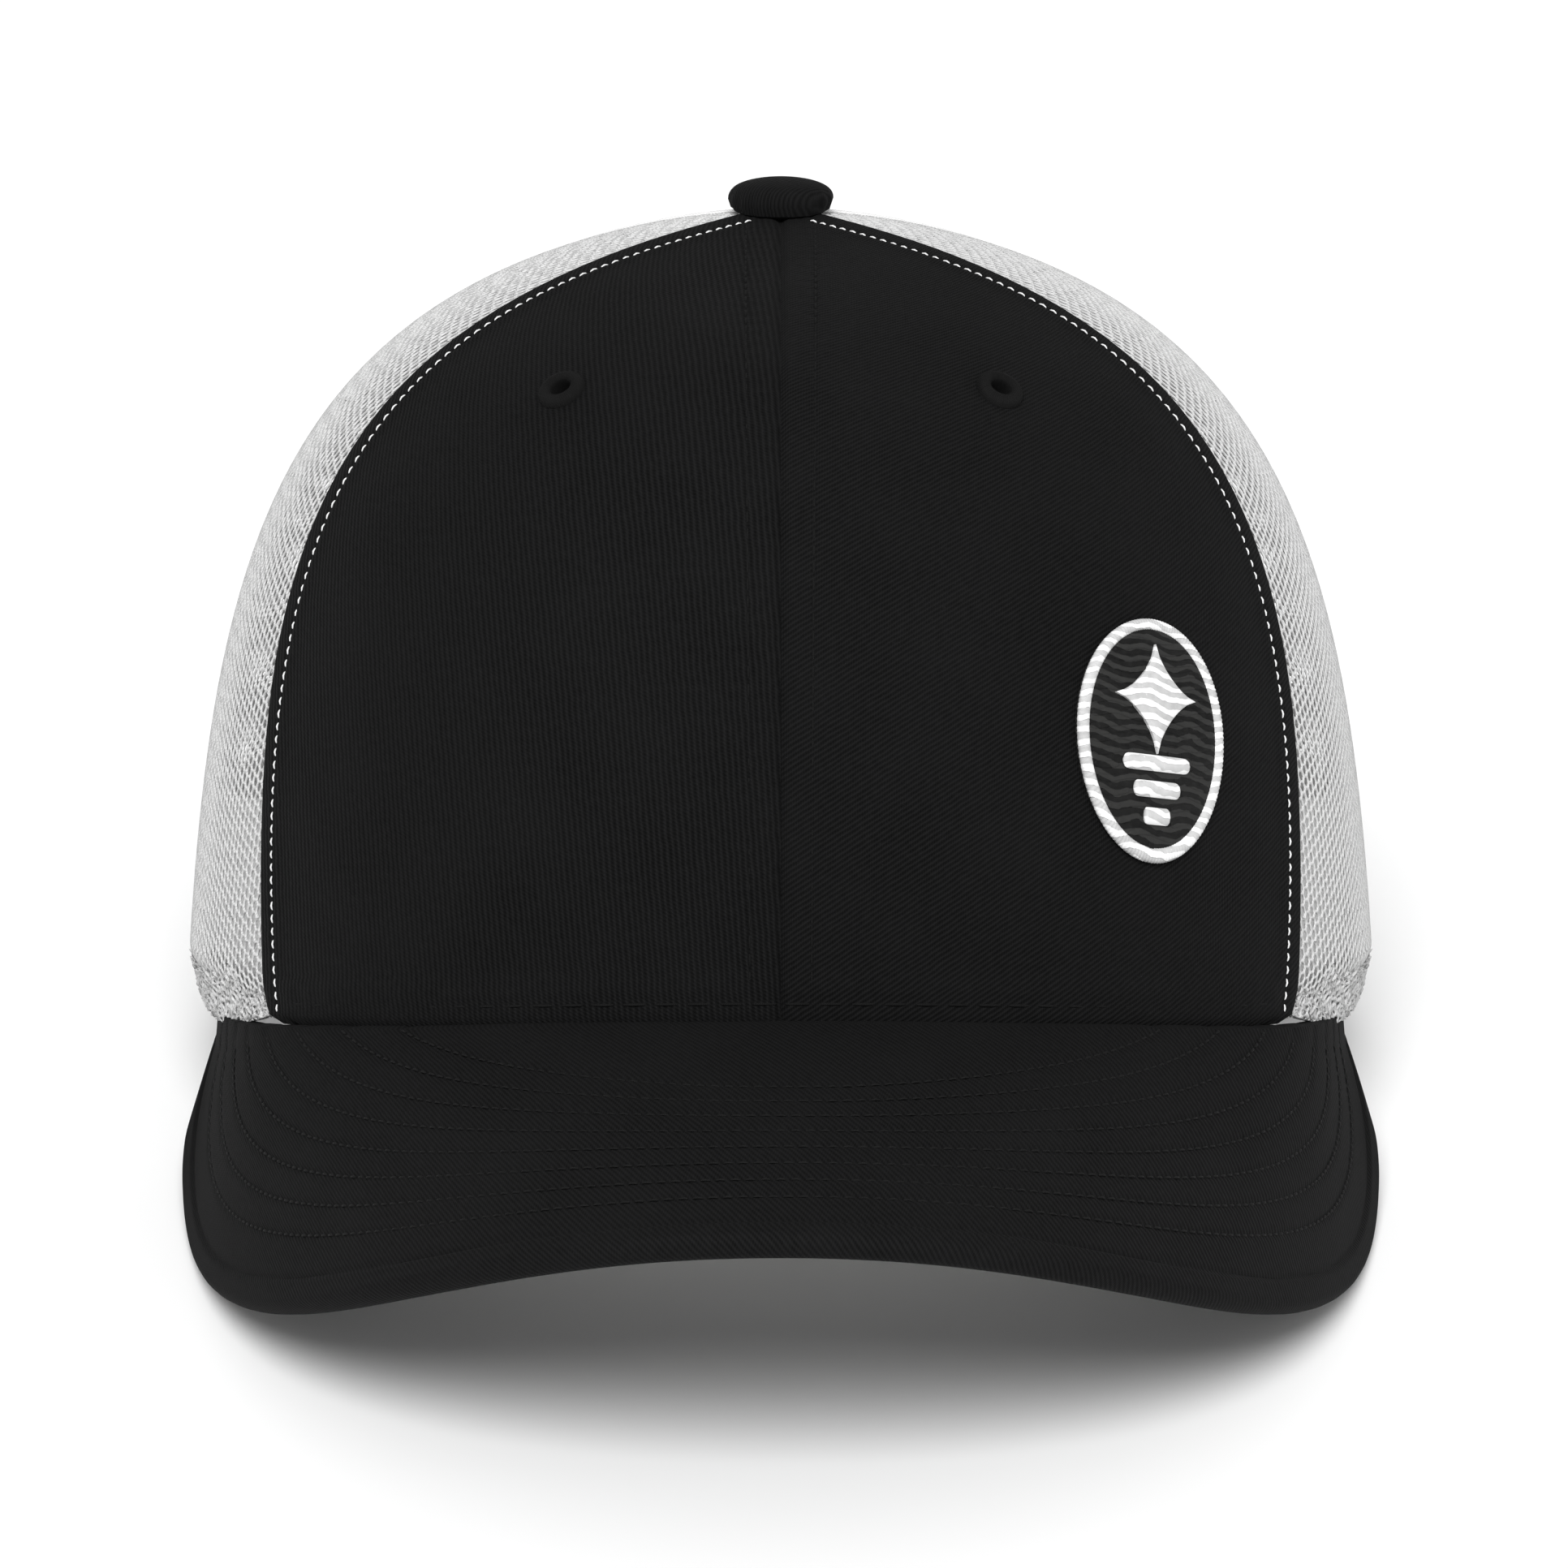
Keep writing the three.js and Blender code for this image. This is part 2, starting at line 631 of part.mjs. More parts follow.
/** The end of a strap that is sewn between the mesh hem and the sweatband. */
function strapTab(side) {
  const grid = (offset) => steps(STRAP.root + 0.6, STRAP.tabEnd, 3).map((arc) => {
    const u = archAzimuth(side * arc);
    return steps(STRAP.bottom, STRAP.bottom + STRAP.width, 2).map((height) => (
      onCrown(u, levelAtArc(u, height), offset)));
  });
  return solidBetween(grid(LAYERS.strapTab[0]), grid(LAYERS.strapTab[1]));
}

// ---------------------------------------------------------------- materials and assembly

const twill = () => new THREE.MeshStandardMaterial({ color: 0x1f1f20, roughness: 0.9 });
const net = () => new THREE.MeshStandardMaterial({ color: 0xe6e6e6, roughness: 0.75 });
const tape = () => new THREE.MeshStandardMaterial({ color: 0xe4e4e2, roughness: 0.85 });
const stiffener = () => new THREE.MeshStandardMaterial({ color: 0xe9e7df, roughness: 0.9 });
const plastic = () => new THREE.MeshStandardMaterial({ color: 0x18181a, roughness: 0.4 });
const metal = () => new THREE.MeshStandardMaterial({ color: 0xb9bbbe, roughness: 0.35, metalness: 1 });
const board = () => new THREE.MeshStandardMaterial({ color: 0xd9d9d4, roughness: 0.6 });
const thread = () => new THREE.MeshStandardMaterial({ color: 0xf2f2f0, roughness: 0.6 });

const crown = new THREE.Group();

function add(name, geometry, material) {
  const mesh = new THREE.Mesh(geometry, material);
  mesh.name = name;
  crown.add(mesh);
}

const HANDS = [['left', 1], ['right', -1]];

for (const [hand, mirror] of HANDS) {
  const front = { from: frontCentre, to: frontSide, mirror, cols: 8, rows: 16 };
  const panel = gore({ ...front, layer: LAYERS.panel });
  const buckram = gore({ ...front, layer: LAYERS.buckram, inset: 1.2, bottom: 0.006 });
  add(`front_panel_${hand}`, withEyeletHole(panel, mirror), twill());
  add(`buckram_${hand}`, withEyeletHole(buckram, mirror), stiffener());
  add(`side_mesh_${hand}`, gore({
    from: frontSide, to: sideBack, layer: LAYERS.mesh, mirror, cols: 8, rows: 16,
  }), net());
  add(`back_mesh_${hand}`, backPanel(mirror, 14), net());
}

const bandTop = SWEATBAND.bottom + SWEATBAND.height + 0.8;
const archTop = ARCH.height + ARCH.bindingWidth + 0.8;
add('front_seam_tape', seamTape(frontCentre, LAYERS.frontTape, 1, bandTop), tape());
for (const [hand, mirror] of HANDS) {
  add(`front_side_seam_tape_${hand}`, seamTape(frontSide, LAYERS.frontTape, mirror, bandTop), tape());
  add(`side_back_seam_tape_${hand}`, seamTape(sideBack, LAYERS.meshTape, mirror, bandTop), tape());
}
add('back_seam_tape', seamTape(backCentre, LAYERS.meshTape, 1, archTop, 8), tape());

add('sweatband', sweatband(), tape());
add('arch_binding', archBinding(), net());

for (const [hand, mirror] of HANDS) add(`eyelet_${hand}`, eyelet(mirror), twill());
add('badge_patch', laidPatch({ ...BADGE, outline: oval }), thread());
add('main_label', laidPatch({
  azimuth: 0, level: levelAtArc(0, 18), halfWidth: 17, halfHeight: 8,
  faces: LAYERS.label, outline: rectangle, divisions: 3,
}), tape());
add('care_label', laidPatch({
  azimuth: 88, level: levelAtArc(88 * DEG, 27), halfWidth: 9, halfHeight: 15,
  faces: LAYERS.label, outline: rectangle, divisions: 4,
}), thread());

add('button_cover', buttonCover(), twill());
add('button_shell', buttonShell(), metal());
add('button_tack', buttonTack(), metal());

add('visor_top_cover', visorLayer(VISOR_LAYERS.top, 1.3, 1), twill());
add('visor_board', visorLayer(VISOR_LAYERS.board, -1.6, 0.86), board());
add('visor_under_cover', visorLayer(VISOR_LAYERS.under, 1.3, 1), twill());

add('hole_strap_tab', strapTab(1), plastic());
add('peg_strap_tab', strapTab(-1), plastic());
add('hole_strap', holeStrap(), plastic());
add('peg_strap', pegStrap(), plastic());

// Tipped back on its visor and rim, then set down with its footprint centred on the origin.
crown.rotation.x = -REST_TILT * DEG;
const cap = new THREE.Group();
cap.add(crown);
cap.updateMatrixWorld(true);
const extent = new THREE.Box3().setFromObject(cap, true);
const middle = extent.getCenter(new THREE.Vector3());
crown.position.set(-middle.x, -middle.y, -extent.min.z);

export default cap;
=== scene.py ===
"""Looks of a trucker mesh cap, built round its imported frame.

The cap is drawn in millimetres in the crown's own level frame (hem near height zero, front
towards -Y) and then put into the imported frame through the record's head_opening mount.
Cloth pieces are closed shells laid on the crown's or the visor's surface, the side and back
panels are real open net, and every row of stitching is made of single stitches.
"""

from __future__ import annotations

import json
import logging
import math
from dataclasses import dataclass, replace
from enum import Enum
from typing import Callable, Sequence

import bpy
import numpy as np
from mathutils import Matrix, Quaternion, Vector


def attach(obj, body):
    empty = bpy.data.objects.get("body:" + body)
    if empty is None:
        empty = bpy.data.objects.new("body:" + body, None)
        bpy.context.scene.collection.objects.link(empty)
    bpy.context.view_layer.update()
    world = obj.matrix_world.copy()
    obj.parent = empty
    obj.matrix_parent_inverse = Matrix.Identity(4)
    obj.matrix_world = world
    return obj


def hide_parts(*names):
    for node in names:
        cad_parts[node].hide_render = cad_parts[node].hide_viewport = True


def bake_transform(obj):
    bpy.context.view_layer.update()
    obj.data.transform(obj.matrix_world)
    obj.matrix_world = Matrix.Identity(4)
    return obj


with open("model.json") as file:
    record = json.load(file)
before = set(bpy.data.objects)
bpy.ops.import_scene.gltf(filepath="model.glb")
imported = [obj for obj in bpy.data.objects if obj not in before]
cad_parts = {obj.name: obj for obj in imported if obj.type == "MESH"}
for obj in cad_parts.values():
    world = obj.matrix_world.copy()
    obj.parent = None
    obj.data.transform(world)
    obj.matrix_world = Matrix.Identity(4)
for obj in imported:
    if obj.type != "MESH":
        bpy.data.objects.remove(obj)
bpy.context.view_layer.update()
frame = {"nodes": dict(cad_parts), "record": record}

LOG = logging.getLogger("cap")
Array = np.ndarray
Socket = bpy.types.NodeSocket
Colour = tuple[float, float, float]
Value = Socket | Colour | float
MM = 0.001
TURN = 2.0 * math.pi
LEFT, RIGHT = 1, -1
SIDES = (("left", LEFT), ("right", RIGHT))
SEED = 11
SLOPE_STEP = 1e-3  # step for slopes taken by difference
UP = np.array([0.0, 0.0, 1.0])
LEVEL = np.array([1.0, 1.0, 0.0])  # times a direction, leaves its level part


class Body(Enum):
    """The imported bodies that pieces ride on."""

    CROWN = "crown"
    VISOR = "visor"
    HOLE_STRAP = "hole_strap"
    PEG_STRAP = "peg_strap"


class Weave(Enum):
    """Ways in which a cloth's yarns cross."""

    TWILL = "twill"
    PLAIN = "plain"
    THREAD = "thread"
    WAVES = "waves"


# ------------------------------------------------------------------ numbers and shapes


def smooth(low: float, high: float, x: Array | float) -> Array:
    """Smooth step from 0 at low to 1 at high."""
    s = np.clip((np.asarray(x, float) - low) / (high - low), 0.0, 1.0)
    return s * s * (3.0 - 2.0 * s)


def lerp(a: Array | float, b: Array | float, s: Array | float) -> Array:
    """Value between a and b."""
    return a + (b - a) * s


def unit(v: Array) -> Array:
    """Vectors along the last axis, scaled to length one."""
    return v / np.maximum(np.linalg.norm(v, axis=-1, keepdims=True), 1e-12)


def bell(x: Array, width: float) -> Array:
    """Bell curve of height one."""
    return np.exp(-((x / width) ** 2))


def grid_faces(rows: int, cols: int, start: int = 0, around: bool = False) -> Array:
    """Quads of a grid of vertices.

    Args:
        rows: Vertices down.
        cols: Vertices across.
        start: Index of the first vertex.
        around: Whether the last column joins the first.

    Returns:
        One row of four vertex numbers for each quad.
    """
    r = np.arange(rows - 1)[:, None]
    c = np.arange(cols if around else cols - 1)[None, :]
    d = (c + 1) % cols
    quads = [r * cols + c, r * cols + d, (r + 1) * cols + d, (r + 1) * cols + c]
    return start + np.stack(np.broadcast_arrays(*quads), -1).reshape(-1, 4)


@dataclass
class Shape:
    """Vertices in the crown's frame with their faces and their place on the cloth."""

    points: Array
    faces: list[Array]
    cloth: Array
    wear: Array

    @staticmethod
    def of(points: Array, faces: list[Array], cloth: Array, wear: Array | None = None) -> Shape:
        """Shape from arrays of any grid layout.

        Args:
            points: Vertices, in millimetres.
            faces: Arrays of vertex numbers, one array for each number of corners.
            cloth: Two cloth coordinates for each vertex, in millimetres.
            wear: How worn each vertex is, from 0 to 1.

        Returns:
            The shape with flat arrays.
        """
        flat = points.reshape(-1, 3)
        worn = np.zeros(len(flat)) if wear is None else np.asarray(wear, float).reshape(-1)
        return Shape(flat, faces, np.asarray(cloth, float).reshape(-1, 2), worn)

    def facing_out(self) -> Shape:
        """The same shape with its faces turned outwards."""
        total = 0.0
        for group in self.faces:
            a = self.points[group[:, 0]]
            for k in range(1, group.shape[1] - 1):
                cross = np.cross(self.points[group[:, k]], self.points[group[:, k + 1]])
                total += float(np.einsum("ij,ij->", a, cross))
        if total < 0:
            self.faces = [group[:, ::-1] for group in self.faces]
        return self


def joined(shapes: Sequence[Shape]) -> Shape:
    """Several shapes as one."""
    faces: list[Array] = []
    start = 0
    for shape in shapes:
        faces += [group + start for group in shape.faces]
        start += len(shape.points)
    return Shape(
        np.concatenate([s.points for s in shapes]),
        faces,
        np.concatenate([s.cloth for s in shapes]),
        np.concatenate([s.wear for s in shapes]),
    )


def shell(outer: Array, inner: Array, cloth: Array, wear: Array | None = None) -> Shape:
    """Closed sheet between two grids.

    Args:
        outer: Grid of points on the outer face.
        inner: The same grid on the inner face.
        cloth: Cloth coordinates of the grid.
        wear: Wear of the grid.

    Returns:
        The closed sheet.
    """
    rows, cols = outer.shape[:2]
    count = rows * cols
    top = grid_faces(rows, cols)
    under = grid_faces(rows, cols, count)[:, ::-1]
    number = np.arange(count).reshape(rows, cols)
    rim = np.concatenate(
        [number[0, :-1], number[:-1, -1], number[-1, :0:-1], number[:0:-1, 0]]
    )
    after = np.roll(rim, -1)
    walls = np.stack([after, rim, rim + count, after + count], -1)
    worn = None if wear is None else np.concatenate([wear.ravel(), 0.4 * wear.ravel()])
    made = Shape.of(
        np.concatenate([outer.reshape(-1, 3), inner.reshape(-1, 3)]),
        [np.concatenate([top, under, walls])],
        np.concatenate([cloth.reshape(-1, 2)] * 2),
        worn,
    )
    return made.facing_out()


def loft(rings: Array, cloth: Array, wear: Array | None = None) -> Shape:
    """Closed solid through rings of points, with flat ends."""
    rows, cols = rings.shape[:2]
    first = np.arange(cols)[None, ::-1]
    last = first[:, ::-1] + (rows - 1) * cols
    sides = grid_faces(rows, cols, around=True)
    return Shape.of(rings, [sides, np.concatenate([first, last])], cloth, wear).facing_out()


def spun(profile: Sequence[tuple[float, float]], segments: int) -> Shape:
    """Solid of revolution about +Z from a closed profile of (radius, height)."""
    outline = np.array(profile, float)
    angle = np.arange(segments) * TURN / segments
    rings = np.stack(
        [
            outline[:, None, 0] * np.cos(angle),
            outline[:, None, 0] * np.sin(angle),
            np.broadcast_to(outline[:, None, 1], (len(outline), segments)),
        ],
        -1,
    )
    rings = np.concatenate([rings, rings[:1]])
    steps = np.linalg.norm(np.diff(outline, axis=0, append=outline[:1]), axis=1)
    along = np.concatenate([[0.0], np.cumsum(steps)])
    cloth = np.stack(
        np.broadcast_arrays(angle * outline[:, 0].max(), along[:, None]), -1
    )
    rows = len(rings)
    return Shape.of(rings, [grid_faces(rows, segments, around=True)], cloth).facing_out()


def placed(shape: Shape, place: Array, across: Array, along: Array, normal: Array) -> Shape:
    """A shape drawn about +Z, moved so that its axes lie on the three directions given."""
    turned = shape.points @ np.stack([across, along, normal]) + place
    return Shape(turned, shape.faces, shape.cloth, shape.wear)


# ------------------------------------------------------------------ the crown's surface


@dataclass(frozen=True)
class Spine:
    """Cubic curve from hem to apex, in its own plane."""

    hem_handle: float
    hem_lean: float
    apex_handle: float
    apex_slope: float

    def at(self, t: Array, reach: float, hem: float, height: float) -> tuple[Array, Array]:
        """Reach and height of the curve.

        Args:
            t: Level, from 0 at the hem to 1 at the apex.
            reach: Reach at the hem.
            hem: Height of the hem.
            height: Height of the apex.

        Returns:
            Reach and height at each level.
        """
        lean, slope = math.radians(self.hem_lean), math.radians(self.apex_slope)
        xs = (reach, reach - self.hem_handle * math.sin(lean),
              self.apex_handle * math.cos(slope), 0.0)
        zs = (hem, hem + self.hem_handle * math.cos(lean),
              height - self.apex_handle * math.sin(slope), height)
        s = 1.0 - t
        weights = (s**3, 3 * s * s * t, 3 * s * t * t, t**3)
        return (
            sum(w * x for w, x in zip(weights, xs)),
            sum(w * z for w, z in zip(weights, zs)),
        )


@dataclass(frozen=True)
class CrownSurface:
    """The crown's outer surface, by azimuth u from centre front and level t from the hem."""

    half_width: float = 90.3
    front_reach: float = 99.0
    back_reach: float = 94.0
    front_lift: float = 11.2
    height: float = 117.4
    apex_y: float = 2.0
    front: Spine = Spine(92, 8, 68, 12)
    side: Spine = Spine(68, 3.6, 76.5, 4.3)
    back: Spine = Spine(66, 0, 74, 1.5)
    tuck_depth: float = 4.2
    tuck_top: float = 0.035
    tuck_from: float = 50
    tuck_full: float = 80
    tuck_fade: float = 95
    tuck_gone: float = 122
    front_side_at_hem: float = 55.3
    front_side_at_apex: float = 42
    front_side_bow: float = 42.5
    side_back_angle: float = 121
    arc_per_radian: float = 91.0

    def tuck(self, u: Array, t: Array) -> Array:
        """How far the hem is gathered in."""
        azimuth = np.degrees(np.abs(u))
        around = smooth(self.tuck_from, self.tuck_full, azimuth) * (
            1 - smooth(self.tuck_fade, self.tuck_gone, azimuth)
        )
        return self.tuck_depth * around * (1 - smooth(0, self.tuck_top, t))

    def point(self, u: Array | float, t: Array | float) -> Array:
        """Point of the outer surface."""
        u, t = np.broadcast_arrays(np.asarray(u, float), np.asarray(t, float))
        cos, sin = np.cos(u), np.sin(u)
        side_x, side_z = self.side.at(t, self.half_width, 0.0, self.height)
        front_x, front_z = self.front.at(t, self.front_reach, self.front_lift, self.height)
        back_x, back_z = self.back.at(t, self.back_reach, 0.0, self.height)
        ahead = cos > 0
        axis_y = self.apex_y * smooth(0, 1, t)
        lean = np.where(ahead, self.apex_y - axis_y, axis_y - self.apex_y)
        reach = np.where(ahead, front_x, back_x) - lean
        shrink = 1 - self.tuck(u, t) / self.half_width
        rise = np.where(ahead, front_z, back_z)
        return np.stack(
            [side_x * sin * shrink, axis_y - reach * cos * shrink,
             rise * cos * cos + side_z * sin * sin],
            -1,
        )

    def normal(self, u: Array | float, t: Array | float) -> Array:
        """Outward normal."""
        u, t = np.broadcast_arrays(np.asarray(u, float), np.asarray(t, float))
        step = SLOPE_STEP
        low, high = np.maximum(t - step, 0), np.minimum(t + step, 1 - SLOPE_STEP)
        across = self.point(u + step, t) - self.point(u - step, t)
        return unit(np.cross(across, self.point(u, high) - self.point(u, low)))

    def on(self, u: Array | float, t: Array | float, offset: Array | float) -> Array:
        """Point at a distance outside the surface."""
        return self.point(u, t) + self.normal(u, t) * np.asarray(offset, float)[..., None]

    def radius(self, u: Array, t: Array) -> Array:
        """Distance from the crown's axis."""
        p = self.point(u, t)
        return np.hypot(p[..., 0], p[..., 1] - self.apex_y * smooth(0, 1, t))

    def level_at_radius(self, u: Array | float, radius: float) -> Array:
        """Level at which the surface is that far from the axis."""
        low = np.full(np.shape(u), 0.5)
        high = np.full(np.shape(u), 1.0)
        for _ in range(30):
            middle = (low + high) / 2
            out = self.radius(u, middle) > radius
            low, high = np.where(out, middle, low), np.where(out, high, middle)
        return low

    def front_centre(self, t: Array) -> Array:
        """Azimuth of the seam at centre front."""
        return np.zeros(np.shape(t))

    def back_centre(self, t: Array) -> Array:
        """Azimuth of the seam at centre back."""
        return np.full(np.shape(t), math.pi)

    def side_back(self, t: Array) -> Array:
        """Azimuth of the seam between a side and a back panel."""
        return np.full(np.shape(t), math.radians(self.side_back_angle))

    def front_side(self, t: Array) -> Array:
        """Azimuth of the seam between a front and a side panel."""
        t = np.asarray(t, float)
        bow = self.front_side_bow * t * (1 - t)
        return np.radians(lerp(self.front_side_at_hem, self.front_side_at_apex, t) + bow)


class ArcTable:
    """Heights measured along the crown's surface, and the levels that they stand for."""

    AZIMUTHS = 181
    LEVELS = 601
    ARCS = 901
    LONGEST = 230.0

    def __init__(self, surface: CrownSurface) -> None:
        """Walks up the surface at evenly spaced azimuths."""
        u = np.linspace(0, math.pi, self.AZIMUTHS)
        t = np.linspace(0, 1, self.LEVELS)
        p = surface.point(u[:, None], t[None, :])
        walked = np.cumsum(np.linalg.norm(np.diff(p, axis=1), axis=2), axis=1)
        self.arcs = np.concatenate([np.zeros((self.AZIMUTHS, 1)), walked], 1)
        even = np.linspace(0, self.LONGEST, self.ARCS)
        self.levels = np.stack([np.interp(even, row, t) for row in self.arcs])

    @staticmethod
    def _read(table: Array, row: Array, col: Array) -> Array:
        """Value between four neighbours of a table."""
        row = np.clip(row, 0, table.shape[0] - 1.001)
        col = np.clip(col, 0, table.shape[1] - 1.001)
        i, j = row.astype(int), col.astype(int)
        a, b = row - i, col - j
        low = table[i, j] * (1 - b) + table[i, j + 1] * b
        high = table[i + 1, j] * (1 - b) + table[i + 1, j + 1] * b
        return low * (1 - a) + high * a

    def level(self, u: Array | float, arc: Array | float) -> Array:
        """Level that lies `arc` above the hem, along the surface."""
        u, arc = np.broadcast_arrays(np.asarray(u, float), np.asarray(arc, float))
        row = np.abs(u) / math.pi * (self.AZIMUTHS - 1)
        return self._read(self.levels, row, arc / self.LONGEST * (self.ARCS - 1))

    def arc(self, u: Array | float, t: Array | float) -> Array:
        """Height above the hem at level t, along the surface."""
        u, t = np.broadcast_arrays(np.asarray(u, float), np.asarray(t, float))
        row = np.abs(u) / math.pi * (self.AZIMUTHS - 1)
        return self._read(self.arcs, row, t * (self.LEVELS - 1))


CROWN = CrownSurface()
ARCS = ArcTable(CROWN)

# Lines up the crown, and functions that lay flat cloth on it: azimuth, level, what to keep.
Line = Callable[[Array], Array]
Place = Callable[[Array], tuple[Array, Array, Array]]

# The arch at the back: half its width round the hem, its height, and how square it is.
ARCH_WIDTH, ARCH_HEIGHT, ARCH_POWER = 50.0, 55.0, 2.6


@dataclass(frozen=True)
class Placing:
    """Where the crown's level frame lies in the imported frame."""

    origin: Array
    axes: Array

    @classmethod
    def from_record(cls, record: dict) -> Placing:
        """Reads the head_opening mount, which lies a millimetre up the crown's own axis."""
        mount = next(m for m in record["mounts"] if m["name"] == "head_opening")
        up = -unit(np.array(mount["axis"], float))
        across = np.array([1.0, 0.0, 0.0])
        back = np.cross(up, across)
        return cls(np.array(mount["pos_m"], float) - MM * up, np.stack([across, back, up]))

    def world(self, points: Array) -> Array:
        """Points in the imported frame, in metres."""
        return self.origin + (points @ self.axes) * MM

    def point(self, x: float, y: float, z: float) -> Vector:
        """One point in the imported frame, in metres."""
        return Vector(self.world(np.array([x, y, z], float)))


PLACING = Placing.from_record(frame["record"])


# ------------------------------------------------------------------ finishes


class Wiring:
    """Adds nodes to a tree and joins them up."""

    def __init__(self, tree: bpy.types.NodeTree) -> None:
        """Keeps the tree."""
        self.tree = tree

    def node(self, kind: str, **settings: object) -> bpy.types.Node:
        """New node with its settings."""
        made = self.tree.nodes.new(kind)
        for key, value in settings.items():
            setattr(made, key, value)
        return made

    def feed(self, socket: Socket, value: Value) -> None:
        """Joins a socket to another, or sets its number."""
        if isinstance(value, Socket):
            self.tree.links.new(value, socket)
        else:
            socket.default_value = value

    def math(self, operation: str, *values: Value) -> Socket:
        """Result of a Math node."""
        made = self.node("ShaderNodeMath", operation=operation)
        for socket, value in zip(made.inputs, values):
            self.feed(socket, value)
        return made.outputs[0]

    def noise(self, vector: Socket, scale: float, detail: float = 2.0) -> Socket:
        """Noise about one half."""
        made = self.node("ShaderNodeTexNoise")
        self.feed(made.inputs["Vector"], vector)
        made.inputs["Scale"].default_value = scale
        made.inputs["Detail"].default_value = detail
        return made.outputs["Fac"]

    def ramp(self, value: Socket, low: float, high: float, a: float, b: float) -> Socket:
        """Value moved from the range low..high to a..b and kept inside it."""
        made = self.node("ShaderNodeMapRange", clamp=True)
        for socket, item in zip(made.inputs, (value, low, high, a, b)):
            self.feed(socket, item)
        return made.outputs[0]

    def mix(self, share: Socket, a: Value, b: Value) -> Socket:
        """Colour between two others."""
        made = self.node("ShaderNodeMix", data_type="RGBA")
        self.feed(made.inputs["Factor"], share)
        for socket, value in (("A", a), ("B", b)):
            colours = [s for s in made.inputs if s.name == socket and s.type == "RGBA"]
            self.feed(colours[0], (*value, 1.0) if isinstance(value, tuple) else value)
        return next(s for s in made.outputs if s.type == "RGBA")


@dataclass(frozen=True)
class Cloud:
    """Noise whose range low..high becomes least..most, to say where something shows."""

    scale: float
    detail: float
    low: float
    high: float
    least: float = 0.0
    most: float = 1.0

    def on(self, wiring: Wiring, place: Socket) -> Socket:
        """How much of it shows at a place."""
        noise = wiring.noise(place, self.scale, self.detail)
        return wiring.ramp(noise, self.low, self.high, self.least, self.most)


@dataclass
class Yarns:
    """Cloth turned to its weave's angle, on which each weave draws its height."""

    wiring: Wiring
    x: Socket
    y: Socket
    pitch: Socket
    wander: Socket

    def shift(self, reach: float) -> Socket:
        """Slow wander of the yarns, in radians."""
        return self.wiring.math("MULTIPLY", self.wander, reach)

    def phase(self, along: Socket, pitch: Socket, shift: Socket) -> Socket:
        """Angle that turns once in each pitch."""
        share = self.wiring.math("DIVIDE", along, pitch)
        return self.wiring.math("ADD", self.wiring.math("MULTIPLY", share, TURN), shift)

    def wave(self, along: Socket, pitch: Socket, shift: Socket) -> Socket:
        """Wave from 0 to 1 with one crest in each pitch."""
        sine = self.wiring.math("SINE", self.phase(along, pitch, shift))
        return self.wiring.math("MULTIPLY_ADD", sine, 0.5, 0.5)

    def twill(self) -> Socket:
        """Diagonal ribs, each made of short slanted floats."""
        float_length, rib_share = 0.62, 0.72
        shift = self.shift(3.0)
        rib = self.wave(self.x, self.pitch, shift)
        slant = self.phase(self.x, self.pitch, shift)
        length = self.wiring.math("MULTIPLY", self.pitch, float_length)
        floats = self.wiring.math("MULTIPLY", self.wave(self.y, length, slant), 1 - rib_share)
        return self.wiring.math("MULTIPLY_ADD", rib, rib_share, floats)

    def plain(self) -> Socket:
        """Yarns that go over and under one another."""
        shift = self.shift(2.0)
        warp = self.wave(self.x, self.pitch, shift)
        weft = self.wave(self.y, self.pitch, shift)
        both = self.wiring.math("MULTIPLY", warp, weft)
        neither = self.wiring.math(
            "MULTIPLY",
            self.wiring.math("SUBTRACT", 1.0, warp),
            self.wiring.math("SUBTRACT", 1.0, weft),
        )
        return self.wiring.math("SQRT", self.wiring.math("ADD", both, neither))

    def thread(self) -> Socket:
        """Twisted plies of a thread."""
        ply_slant = 0.8
        slanted = self.wiring.math("MULTIPLY_ADD", self.y, ply_slant, self.x)
        return self.wave(slanted, self.pitch, self.shift(4.0))

    def waves(self) -> Socket:
        """Wavy rows of satin thread that catch the light in turn."""
        sway_turn, sway_reach = 0.7, 1.3
        sine = self.wiring.math("SINE", self.wiring.math("MULTIPLY", self.x, sway_turn))
        sway = self.wiring.math("MULTIPLY", sine, sway_reach)
        shift = self.wiring.math("ADD", sway, self.shift(5.0))
        return self.wiring.ramp(self.wave(self.y, self.pitch, shift), 0.42, 0.58, 0.0, 1.0)


